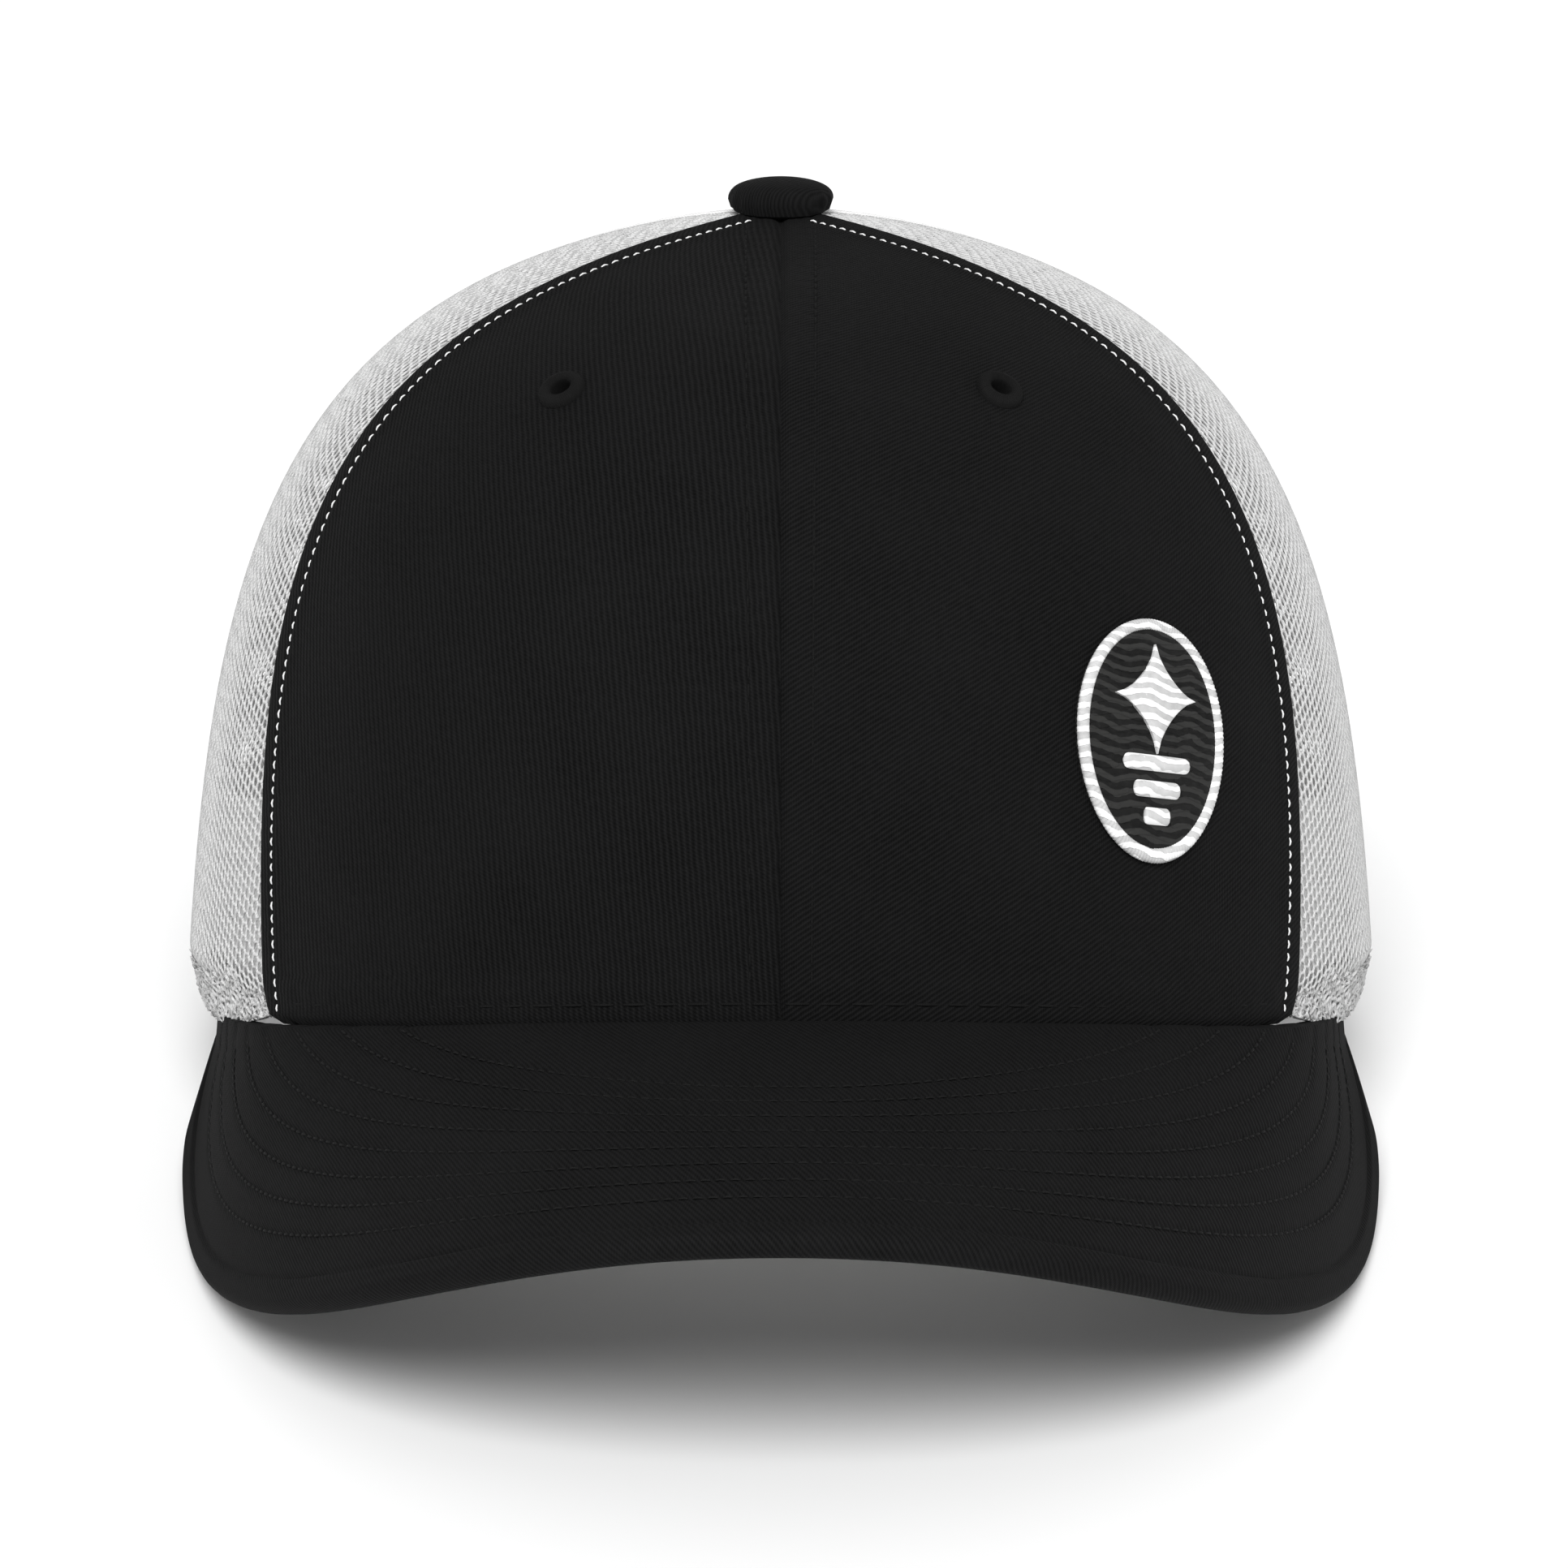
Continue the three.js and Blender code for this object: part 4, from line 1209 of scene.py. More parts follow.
@dataclass
class NetPanels:
    """Open net at the sides and back, with its doubled hem and seams."""

    bench: Bench
    column_pitch: float = 1.5
    row_pitch: float = 1.67
    hole_share: float = 0.68
    strand: float = 0.22
    middle: float = -0.42
    wander: float = 0.1
    seam_hole: float = 3.2
    hem_full: float = 5.0
    hem_sag: float = 1.9
    hem_swell: float = 1.5
    hem_ends: tuple[float, float] = (50.0, 148.2)
    lowest: float = 0.6
    margin: float = 0.4
    tallest: float = 175.0
    side_half: float = 62.0
    back_half: float = 52.0

    SIDE_MIDDLE = math.radians(88)
    BACK_MIDDLE = math.radians(151)
    HEM_RADIUS = 90
    MM_PER_DEGREE = 1.5708
    ARCH_MARGIN = 1.01

    def hexagon(self) -> Array:
        """Corners of one cell, from its centre."""
        q, p = self.column_pitch, self.row_pitch
        corner = (q * q - p * p / 4) / (2 * q)
        point = (q * q + p * p / 4) / (2 * q)
        return np.array([[point, 0], [corner, p / 2], [-corner, p / 2],
                         [-point, 0], [-corner, -p / 2], [corner, -p / 2]])

    def cells(self, half_width: float, low: float, high: float) -> Array:
        """Centres of the cells in a rectangle of cloth."""
        q, p = self.column_pitch, self.row_pitch
        i = np.arange(-int(half_width / q) - 1, int(half_width / q) + 2)
        j = np.arange(int(low / p) - 1, int(high / p) + 2)
        i, j = np.meshgrid(i, j)
        x = i * q
        y = j * p + (i % 2) * p / 2
        centres = np.stack([x.ravel(), y.ravel()], -1)
        inside = (centres[:, 1] > low - p) & (centres[:, 1] < high + p)
        return centres[inside]

    def weave(
        self,
        centres: Array,
        place: Place,
        middle: float,
        hole_share: float,
    ) -> Shape:
        """Net of the given cells.

        Args:
            centres: Cell centres on the flat cloth.
            place: Gives azimuth, level and a mask of what to keep for flat points, moving
                points outside the panel to its edge.
            middle: Offset of the net's middle.
            hole_share: Size of each hole against its cell.

        Returns:
            The net, two-sided, with rounded strands.
        """
        corners = self.hexagon()
        outer = centres[:, None] + corners
        inner = centres[:, None] + corners * hole_share
        key = np.round(outer.reshape(-1, 2) * 50).astype(np.int64)
        _, first, number = np.unique(key, axis=0, return_index=True, return_inverse=True)
        number = number.reshape(-1)
        shared = outer.reshape(-1, 2)[first]
        random = np.random.default_rng(SEED)
        shared = shared + random.uniform(-self.wander, self.wander, shared.shape)
        open_points = inner.reshape(-1, 2)
        drift = random.uniform(-self.wander, self.wander, (len(centres), 1, 2))
        open_points = open_points + drift.repeat(len(corners), 1).reshape(-1, 2)
        u, t, _ = place(shared)
        v, w, kept = place(open_points)
        high = CROWN.on(u, t, middle + self.strand + 0 * u)
        low = CROWN.on(u, t, middle - self.strand + 0 * u)
        rim = CROWN.on(v, w, middle + 0 * v)
        count, holes = len(shared), len(open_points)
        a = number.reshape(-1, 6)
        b = np.roll(a, -1, axis=1)
        c = 2 * count + np.arange(holes).reshape(-1, 6)
        d = np.roll(c, -1, axis=1)
        top = np.stack([a, b, d, c], -1)
        under = np.stack([b + count, a + count, c, d], -1)
        cell_kept = kept.reshape(-1, 6).any(1)
        quads = np.concatenate([top[cell_kept].reshape(-1, 4), under[cell_kept].reshape(-1, 4)])
        points = np.concatenate([high, low, rim])
        diagonals = np.cross(points[quads[:, 2]] - points[quads[:, 0]],
                             points[quads[:, 3]] - points[quads[:, 1]])
        quads = quads[np.linalg.norm(diagonals, axis=1) > 2e-3]
        used, flat = np.unique(quads, return_inverse=True)
        cloth = np.concatenate([shared, shared, open_points])
        return Shape.of(points[used], [flat.reshape(-1, 4)], cloth[used])

    def side_place(self, mirror: int) -> Place:
        """Function that lays flat cloth over a side panel."""

        def place(flat: Array) -> tuple[Array, Array, Array]:
            """Azimuth, level and what to keep, between the front and the side-back seam."""
            arc = np.clip(flat[:, 1], self.lowest, None)
            t = ARCS.level(self.SIDE_MIDDLE, arc)
            top = float(CROWN.level_at_radius(self.SIDE_MIDDLE, self.seam_hole))
            kept = t < top
            t = np.minimum(t, top)
            start, end = CROWN.front_side(t), CROWN.side_back(t)
            tucked = 8.0 * (1 - smooth(5, 12, arc)) - 1.0
            low = start - tucked / self.HEM_RADIUS
            middle = (CROWN.front_side(np.full_like(t, 0.3)) + end) / 2
            radius = CROWN.radius(middle, t)
            u = middle + flat[:, 0] / radius
            edge_low = low + (self.margin - 1.8) / radius
            edge_high = end - self.margin / radius
            kept &= (u > edge_low) & (u < edge_high)
            return mirror * np.clip(u, edge_low, edge_high), t, kept

        return place

    def back_place(self, mirror: int) -> Place:
        """Function that lays flat cloth over half of the back, cut away by the arch."""

        def place(flat: Array) -> tuple[Array, Array, Array]:
            """Azimuth, level and what to keep, between the side-back and the back seam."""
            middle = self.BACK_MIDDLE
            arc = np.clip(flat[:, 1], self.lowest, None)
            t = ARCS.level(middle, arc)
            top = float(CROWN.level_at_radius(middle, self.seam_hole))
            kept = t < top
            t = np.minimum(t, top)
            radius = CROWN.radius(np.full_like(t, middle), t)
            u = middle + flat[:, 0] / radius
            low = CROWN.side_back(t) + self.margin / radius
            high = math.pi - self.margin / radius
            kept &= (u > low) & (u < high)
            u = np.clip(u, low, high)
            round_back = (math.pi - u) * CROWN.arc_per_radian
            height = ARCS.arc(u, t)
            reach = ((round_back / ARCH_WIDTH) ** ARCH_POWER
                     + (height / ARCH_HEIGHT) ** ARCH_POWER) ** (1 / ARCH_POWER)
            inside = reach < self.ARCH_MARGIN
            kept &= ~inside
            grow = np.where(inside, self.ARCH_MARGIN / np.maximum(reach, 0.3), 1.0)
            u = np.where(inside, math.pi - round_back * grow / CROWN.arc_per_radian, u)
            t = np.where(inside, ARCS.level(u, height * grow), t)
            return mirror * np.clip(u, low, high), t, kept

        return place

    def net(self, place: Place, half_width: float) -> Shape:
        """One layer of net over a panel."""
        centres = self.cells(half_width, 0.5, self.tallest)
        return self.weave(centres, place, self.middle, self.hole_share)

    def hem_height(self, u: Array) -> Array:
        """How high the turned-in hem reaches, by azimuth."""
        azimuth = np.degrees(np.abs(u))
        swell = lerp(2.6, self.hem_full, smooth(54, 68, azimuth))
        return swell + 0.5 * np.sin(azimuth * 1.1) + 0.35 * np.sin(azimuth * 2.9)

    def sag(self, u: Array, height: Array) -> Array:
        """How far the gathered hem hangs below the panels at the sides."""
        azimuth = np.degrees(np.abs(u))
        aside = smooth(57, 66, azimuth) * (1 - smooth(100, 125, azimuth))
        return self.hem_sag * aside * (1 - smooth(0, 5.5, height))

    def bulge(self, u: Array, height: Array) -> Array:
        """How far the gathered hem swells outwards at the sides."""
        azimuth = np.degrees(np.abs(u))
        aside = smooth(60, 72, azimuth) * (1 - smooth(104, 125, azimuth))
        return self.hem_swell * aside * bell(height - 1.5, 3.2)

    @staticmethod
    def hem_bottom(u: Array) -> Array:
        """Where the hem begins, higher where it runs behind a front panel."""
        return 0.2 + 1.8 * (1 - smooth(52.5, 58.5, np.abs(np.degrees(u))))

    def hem_core(self, start: float, end: float) -> Shape:
        """Folded inner layers of the hem, between two azimuths in degrees."""
        u = np.radians(np.linspace(start, end, 300))[:, None]
        angle = np.linspace(0, TURN, 20, endpoint=False)[None, :]
        under = 1.0 * (1 - smooth(52.5, 57.5, np.abs(np.degrees(u))))
        height = self.hem_bottom(u) + self.hem_height(u) * 0.5 * (1 - np.cos(angle))
        fat = np.sign(np.sin(angle)) * np.abs(np.sin(angle)) ** 0.5 * 0.5
        face = fat - 0.75 - under + self.bulge(u, height)
        rings = CROWN.on(u + 0 * angle, ARCS.level(u, height), face)
        rings[..., 2] -= self.sag(u, height)
        cloth = np.stack(np.broadcast_arrays(u * self.HEM_RADIUS, height), -1)
        return loft(rings, cloth)

    def hem_tucks(self, mirror: int) -> Shape:
        """Crumpled net of the hem's outer layer."""
        start, end = self.hem_ends
        scale, high = 0.55, self.hem_full + 1.5
        middle = math.radians((start + end) / 2)
        half = math.radians(end - start) / 2 * self.HEM_RADIUS

        def place(flat: Array) -> tuple[Array, Array, Array]:
            """Azimuth, level and what to keep, pulled about as in gathered cloth."""
            x, y = flat[:, 0] * scale, flat[:, 1] * scale
            x = x + 0.35 * np.sin(y * 2.1 + x * 0.7) + 0.25 * np.sin(x * 1.9)
            y = y + 0.3 * np.sin(x * 1.3 + y) + 0.2 * np.sin(x * 3.1)
            u = middle + x / self.HEM_RADIUS
            kept = (y < self.hem_height(u) + 0.4) & (np.abs(x) < half)
            return mirror * u, ARCS.level(u, np.clip(y, self.hem_bottom(u), high)), kept

        centres = self.cells(half / scale, 0, high / scale)
        made = self.weave(centres, place, 0.0, 0.5)
        length = made.cloth * scale
        degrees = start + (length[:, 0] + half) / self.MM_PER_DEGREE
        under = 1.15 * (1 - smooth(52.5, 57.5, degrees))
        rumple = 0.22 * np.sin(length[:, 0] * 2.7 + 2 * np.sin(length[:, 1] * 1.7))
        rumple += 0.15 * np.sin(length[:, 0] * 5.9 + length[:, 1] * 3.1)
        out = made.points * LEVEL
        azimuth = middle + length[:, 0] / self.HEM_RADIUS
        face = rumple - 0.1 - under + self.bulge(azimuth, length[:, 1])
        made.points = made.points + unit(out) * face[:, None]
        made.points[:, 2] -= self.sag(azimuth, length[:, 1])
        return made

    def seam(self, seam: Line, mirror: int, start: float) -> Shape:
        """Narrow folded ridge where two panels of net are joined."""
        low = float(ARCS.level(seam(0.1), start))
        top = float(CROWN.level_at_radius(float(seam(1.0)), 6.0))
        t = np.linspace(low, top, 220)[:, None]
        angle = np.linspace(0, TURN, 12, endpoint=False)[None, :]
        width = 0.95 + 0.1 * np.sin(t * 300)
        u = seam(t) + np.cos(angle) * width / CROWN.radius(seam(t), t)
        offset = self.middle + 0.05 + 0.5 * np.sin(angle) * (1 - 0.45 * bell(np.cos(angle), 0.3))
        rings = CROWN.on(mirror * u, t + 0 * angle, offset + 0 * u)
        cloth = np.stack(np.broadcast_arrays(angle * 0.6, ARCS.arc(seam(t), t)), -1)
        return loft(rings, cloth)

    def build(self) -> None:
        """Makes the four panels, their hems and the seams between them."""
        make = self.bench.make
        for hand, mirror in SIDES:
            side = self.net(self.side_place(mirror), self.side_half)
            make(f"side_net_{hand}", side, NET_YARN, CREASE, [f"side_mesh_{hand}"], sharp=180)
            back = self.net(self.back_place(mirror), self.back_half)
            make(f"back_net_{hand}", back, NET_YARN, Body.CROWN, [f"back_mesh_{hand}"], sharp=180)
            low, high = sorted(mirror * end for end in self.hem_ends)
            make(f"net_hem_core_{hand}", self.hem_core(low, high), HEM_YARN, CREASE)
            make(f"net_hem_tucks_{hand}", self.hem_tucks(mirror), NET_YARN, CREASE, sharp=180)
            make(f"side_back_seam_{hand}", self.seam(CROWN.side_back, mirror, 5.0),
                 BINDING_TAPE, Body.CROWN)
        make("back_seam", self.seam(CROWN.back_centre, LEFT, 63.5), BINDING_TAPE, Body.CROWN)


# ------------------------------------------------------------------ the visor


@dataclass
class Visor:
    """Curved visor: one stitched cloth cover rolled over the edge of its board."""

    bench: Bench
    seam_angle: float = 78
    tuck_from: float = 42
    seam_gap: float = 1.5
    end_gap: float = -1.2
    seam_drop: float = 1.2
    end_drop: float = 4.4
    edge_angle: float = 87.8
    outer_half_width: float = 87.25
    outer_reach: float = 144.85
    end_half_width: float = 82.65
    end_pull: float = 30
    roundness: float = 2.14
    front_z: float = -5.2
    end_z: float = -1
    side_drop: float = 95.3
    corner_drop: float = 45.7
    arch: float = 1.5
    half_thickness: float = 1.7
    edge_reach: float = 1.3
    shortest: float = 12
    first_row: float = 9.7
    row_pitch: float = 4.8
    row_count: int = 8
    rolled_edge: float = 2.9
    hem_overlap: float = 0.5
    flange_reach: float = 3.2
    groove: float = 0.2
    ripple: float = 0.05
    stitch_sink: float = 0.08
    cols: int = 300
    rows: int = 92

    ROW = Stitch(1.35, 2.0, 0.38, 0.13, 0.05)

    def seam(self, s: Array) -> Array:
        """Inner edge, from -1 at the wearer's right end to +1 at the left."""
        azimuth = s * self.seam_angle
        u = np.radians(azimuth)
        aside = smooth(self.tuck_from, self.seam_angle, np.abs(azimuth))
        outwards = CROWN.normal(u, 0.02) * LEVEL
        p = CROWN.point(u, 0.0 * u)
        p = p + unit(outwards) * lerp(self.seam_gap, self.end_gap, aside)[..., None]
        p[..., 2] -= lerp(self.seam_drop, self.end_drop, aside)
        return p

    def edge(self, s: Array) -> Array:
        """Outer edge of the middle surface."""
        angle = np.radians(np.abs(s) * self.edge_angle)
        power = 2 / self.roundness
        end_y = float(self.seam(np.array([1.0]))[0, 1])
        y = end_y - self.outer_reach * np.cos(angle) ** power
        pull = np.maximum(0, 1 - (end_y - y) / self.end_pull) ** 2
        x = self.outer_half_width * np.sin(angle) ** power
        x = x - (self.outer_half_width - self.end_half_width) * pull
        q = (s * self.edge_angle / 90) ** 2
        z = lerp(self.front_z, self.end_z, q) - self.side_drop * q * (1 - q)
        z = z - self.corner_drop * q**4 * (1 - q)
        return np.stack([np.sign(s) * x, y, z], -1)

    def middle(self, s: Array, v: Array) -> Array:
        """Middle surface, v from 0 at the seam to 1 at the edge."""
        p = lerp(self.seam(s), self.edge(s), v[..., None])
        p[..., 2] += self.arch * 4 * v * (1 - v) * (1 - s * s)
        return p

    def normal(self, s: Array, v: Array) -> Array:
        """Upward normal of the middle surface."""
        step = SLOPE_STEP
        across = self.middle(s + step, v) - self.middle(s - step, v)
        out = self.middle(s, v + step) - self.middle(s, v - step)
        return unit(np.cross(out, across))

    def depth(self, s: Array) -> Array:
        """Distance from the seam to the outer edge."""
        return np.linalg.norm(self.edge(s) - self.seam(s), axis=-1)

    def row_distances(self) -> Array:
        """Distance of each row of quilting from the outer edge."""
        return self.first_row + self.row_pitch * np.arange(self.row_count)

    def from_edge(self, points: Array) -> Array:
        """Distance of points from the outer edge."""
        line = self.edge(np.linspace(-1, 1, 501))
        start, step = line[:-1], np.diff(line, axis=0)
        found = np.full(points.shape[:-1], 1e9)
        for a, d in zip(start, step):
            share = np.clip((points - a) @ d / (d @ d), 0, 1)
            away = np.linalg.norm(points - a - share[..., None] * d, axis=-1)
            found = np.minimum(found, away)
        return found

    def relief(self, away: Array, along: Array) -> Array:
        """How far the quilted cloth stands out, by distance from the edge."""
        made = np.zeros_like(away)
        for row in self.row_distances():
            made -= self.groove * bell(away - row, 0.55)
            made += self.ripple * np.sin(TURN * along / 2.4 + row) * bell(away - row, 1.2)
        made += 0.10 * np.sin(along / 11.0) * np.sin(away / 9.0)
        made += 0.30 * (1 - smooth(self.rolled_edge - 0.4, self.rolled_edge + 0.5, away))
        return made - 0.28 * bell(away - self.rolled_edge - 0.2, 0.45)

    def spread(self) -> tuple[Array, Array]:
        """Grid over the visor, closer together near its ends."""
        s = np.sin(np.linspace(-1, 1, self.cols) * math.pi / 2 * 0.97)
        s = s / s[-1]
        v = np.linspace(0, 1, self.rows)
        return np.broadcast_arrays(s[None, :], v[:, None])

    def flange(self, s: Array, v: Array, thick: Array) -> Array:
        """How far the cover turns up to meet the crown's hem near the sewn ends."""
        aside = smooth(self.tuck_from, self.seam_angle, np.abs(s) * self.seam_angle)
        drop = lerp(self.seam_drop, self.end_drop, aside)
        gap = np.maximum(0, drop - thick + self.hem_overlap)
        length = self.depth(s[0])
        root = np.minimum(self.flange_reach, 0.7 * length)
        return gap * (1 - smooth(0.15, 1.0, v * length / np.maximum(root, 0.1)))

    def cover(self) -> Shape:
        """The cloth cover, top and underside with the rolled edge between them."""
        s, v = self.spread()
        mid = self.middle(s, v)
        away = self.from_edge(mid)
        steps = np.linalg.norm(np.diff(mid, axis=1), axis=-1)
        along = np.concatenate([np.zeros((self.rows, 1)), np.cumsum(steps, axis=1)], 1)
        along = along - along[:, -1:] / 2
        up = self.normal(s, v)
        lift = self.relief(away, along)
        thick = self.half_thickness * (0.35 + 0.65 * smooth(0, 0.06, 1 - np.abs(s)))
        top = mid + up * (thick + lift)[..., None]
        top[..., 2] += self.flange(s, v, thick)
        under = mid - up * (thick + 0.8 * lift)[..., None]
        out = unit(mid[-1] - mid[-2])
        reach = self.edge_reach * np.minimum(1, self.depth(s[0]) / self.shortest)
        turn = np.linspace(0, math.pi, 9)[1:-1]
        round_edge = [
            mid[-1]
            + out * (np.sin(a) * (reach + 0.3))[:, None]
            + up[-1] * (np.cos(a) * (thick[-1] + lift[-1]))[:, None]
            for a in turn
        ]
        azimuth = np.radians(s[0] * self.seam_angle)
        outward = unit(CROWN.normal(azimuth, 0.02 + 0 * azimuth) * LEVEL)
        inside = CROWN.point(azimuth, 0 * azimuth) - outward * 0.75
        tucked = inside.copy()
        tucked[:, 2] = top[0, :, 2] + 0.15
        below = inside.copy()
        below[:, 2] = under[0, :, 2] + 0.2
        rings = np.stack([tucked, *top, *round_edge, *under[::-1], below], 1)
        seam_to = np.linalg.norm(np.diff(rings, axis=1), axis=-1).mean(0)
        down = np.concatenate([[0.0], np.cumsum(seam_to)])
        lengths = np.concatenate(
            [along[:1], along, np.repeat(along[-1:], len(turn), 0), along[::-1], along[:1]])
        cloth = np.stack(np.broadcast_arrays(lengths.T, down[None, :]), -1)
        near = np.concatenate(
            [away[:1], away, np.zeros((len(turn), away.shape[1])), away[::-1], away[:1]])
        wear = 0.15 * bell(near.T - 0.3, 1.4)
        return loft(rings, cloth, wear)

    def stitching(self, side: int) -> Shape:
        """Every row of quilting on the top (+1) or the underside (-1)."""
        s = np.linspace(-0.999, 0.999, 1201)
        v = np.linspace(0, 1, 140)
        grid_s, grid_v = np.broadcast_arrays(s[:, None], v[None, :])
        mid = self.middle(grid_s, grid_v)
        away = self.from_edge(mid)
        made = []
        for row in self.row_distances():
            reached = away[:, 0] > row
            where = np.array([np.interp(-row, -line, v) for line in away[reached]])
            across = s[reached]
            up = self.normal(across, where) * side
            face = self.middle(across, where) + up * (self.half_thickness - self.stitch_sink)
            made.append(self.ROW.row(face, up))
        return joined(made)

    def build(self) -> None:
        """Makes and dresses the visor."""
        self.bench.make("visor_cloth", self.cover(), VISOR_TWILL, Body.VISOR,
                        ["visor_top_cover", "visor_under_cover"])
        self.bench.make("visor_quilting_top", self.stitching(1), VISOR_STITCH, Body.VISOR)
        self.bench.make("visor_quilting_under", self.stitching(-1), VISOR_STITCH, Body.VISOR)
        self.bench.dress("visor_board", BOARD_PLASTIC)


# ------------------------------------------------------------------ badge, button, labels


@dataclass(frozen=True)
class Patch:
    """Flat coordinates laid on the crown about one place: right and up, in millimetres."""

    azimuth: float
    level: float

    def axes(self) -> tuple[Array, Array, Array]:
        """Right, up and outward directions at the middle."""
        normal = CROWN.normal(math.radians(self.azimuth), self.level)
        up = np.cross(normal, np.array([1.0, 0.0, 0.0]))
        if abs(normal[0]) > 0.9:
            up = UP - normal * normal[2]
        up = unit(up)
        return np.cross(up, normal), up, normal

    def place(self, x: Array, y: Array) -> tuple[Array, Array]:
        """Azimuth and level of a point of the patch."""
        u, step = math.radians(self.azimuth), SLOPE_STEP
        right, up, _ = self.axes()
        along_u = (CROWN.point(u + step, self.level) - CROWN.point(u, self.level)) / step
        along_t = (CROWN.point(u, self.level + step) - CROWN.point(u, self.level)) / step
        a, b, c, d = along_u @ right, along_t @ right, along_u @ up, along_t @ up
        det = a * d - b * c
        return u + (d * x - b * y) / det, self.level + (a * y - c * x) / det

    def on(self, x: Array, y: Array, offset: Array | float) -> Array:
        """Point of the patch at a distance from the crown's surface."""
        u, t = self.place(np.asarray(x, float), np.asarray(y, float))
        return CROWN.on(u, t, np.broadcast_to(offset, u.shape))


@dataclass
class Badge:
    """Embroidered oval badge: satin border, thread rows, a plain star over three bars."""

    bench: Bench
    patch: Patch = Patch(37.5, 0.197)
    half_width: float = 13.8
    half_height: float = 17.4
    border: float = 1.9
    row_pitch: float = 1.75
    star: float = 7.6
    star_up: float = 4.9
    bars: tuple[float, ...] = (-4.6, -8.1, -11.6)
    bar_half: float = 6.2
    bar_width: float = 2.2

    def base(self) -> Shape:
        """Oval ground of the badge."""
        angle = np.linspace(0, TURN, 96, endpoint=False)[None, :]
        rings = [(0.02, 1.0), (0.5, 1.0), (0.9, 1.0), (0.97, 0.95), (0.985, -0.1),
                 (0.5, -0.1), (0.02, -0.1)]
        share, face = (np.array(v)[:, None] for v in zip(*rings))
        x = share * self.half_width * np.cos(angle)
        y = share * self.half_height * np.sin(angle)
        points = self.patch.on(x, y, face + 0 * angle)
        return loft(points, np.stack([x, y], -1))

    def rim(self) -> Shape:
        """Border of satin stitches set across the edge."""
        angle = np.linspace(0, TURN, 640, endpoint=False)[:, None]
        turn = np.linspace(0, TURN, 14, endpoint=False)[None, :]
        half = self.border / 2
        thread = 0.05 * np.sin(angle * 160)
        reach = half * np.cos(turn) + thread * 0.6
        x = (self.half_width - half + reach) * np.cos(angle)
        y = (self.half_height - half + reach) * np.sin(angle)
        face = 0.75 + (0.72 + thread) * np.sin(turn) * (np.sin(turn) > 0)
        face = face + 0.75 * np.minimum(np.sin(turn), 0)
        rings = self.patch.on(x, y, face)
        rings = np.concatenate([rings, rings[:1]])
        cloth = np.stack([x, y], -1)
        cloth = np.concatenate([cloth, cloth[:1]])
        sides = grid_faces(len(rings), rings.shape[1], around=True)
        return Shape.of(rings, [sides], cloth).facing_out()

    def cordlet(self, x: Array, y: Array, width: float, low: float, high: float) -> Shape:
        """Raised line of thread along flat points."""
        path = np.stack([x, y], -1)
        ahead = unit(np.gradient(path, axis=0))
        side = np.stack([-ahead[:, 1], ahead[:, 0]], -1)
        turn = np.linspace(0, TURN, 8, endpoint=False)[None, :]
        taper = np.sqrt(np.clip(1 - np.linspace(-1, 1, len(x)) ** 16, 0.05, 1))[:, None]
        across = path[:, None] + side[:, None] * (np.cos(turn) * taper)[..., None] * width / 2
        face = lerp(low, high, (np.sin(turn) * taper + 1) / 2)
        rings = self.patch.on(across[..., 0], across[..., 1], face)
        return loft(rings, across)

    def free(self, x: Array, y: Array) -> Array:
        """Whether flat points lie on plain ground, clear of border, star and bars."""
        inner_x = self.half_width - self.border - 0.1
        inner_y = self.half_height - self.border - 0.1
        inside = (x / inner_x) ** 2 + (y / inner_y) ** 2 < 1
        dx, dy = np.abs(x) / (self.star + 0.7), np.abs(y - self.star_up) / (self.star + 1.2)
        star = dx**0.62 + dy**0.62 < 1
        bars = np.zeros(np.shape(x), bool)
        for bar in self.bars:
            reach = self.bar_half * self.bar_share(bar)
            bars |= (np.abs(y - bar) < self.bar_width / 2 + 0.3) & (np.abs(x) < reach + 0.5)
        return inside & ~star & ~bars

    def bar_share(self, bar: float) -> float:
        """Length of a bar against the longest, shorter towards the bottom."""
        return 1.0 - 0.09 * (self.bars[0] - bar)

    def rows(self) -> Shape:
        """Wavy rows of thread over the ground."""
        x = np.linspace(-self.half_width, self.half_width, 177)
        made = []
        for y0 in np.arange(-self.half_height, self.half_height, self.row_pitch):
            y = y0 + 0.35 * np.sin(x * 0.7 + y0 * 0.25)
            free = self.free(x, y)
            runs = np.split(np.arange(len(x)), np.flatnonzero(np.diff(free.astype(int))) + 1)
            for run in runs:
                if free[run[0]] and len(run) > 5:
                    made.append(self.cordlet(x[run], y[run], 0.95, 0.8, 1.2))
        return joined(made)

    def emblem(self) -> Shape:
        """Four-pointed star with a raised ridge, and three bars."""
        angle = np.linspace(0, TURN, 64, endpoint=False)[None, :]
        form = (np.abs(np.cos(angle)) ** 0.7 + np.abs(np.sin(angle)) ** 0.7) ** (-1 / 0.7)
        share = np.array([0.02, 0.5, 0.92, 1.0, 1.0, 0.02])[:, None]
        face = np.array([1.85, 1.75, 1.6, 1.4, 0.8, 0.8])[:, None]
        x = share * form * self.star * np.cos(angle)
        y = self.star_up + share * form * (self.star + 0.6) * np.sin(angle)
        star = loft(self.patch.on(x, y, face + 0 * angle), np.stack([x, y], -1))
        made = [star]
        for bar in self.bars:
            line = np.linspace(-1, 1, 40) * self.bar_half * self.bar_share(bar)
            made.append(self.cordlet(line, np.full_like(line, bar), self.bar_width, 0.7, 1.75))
        return joined(made)

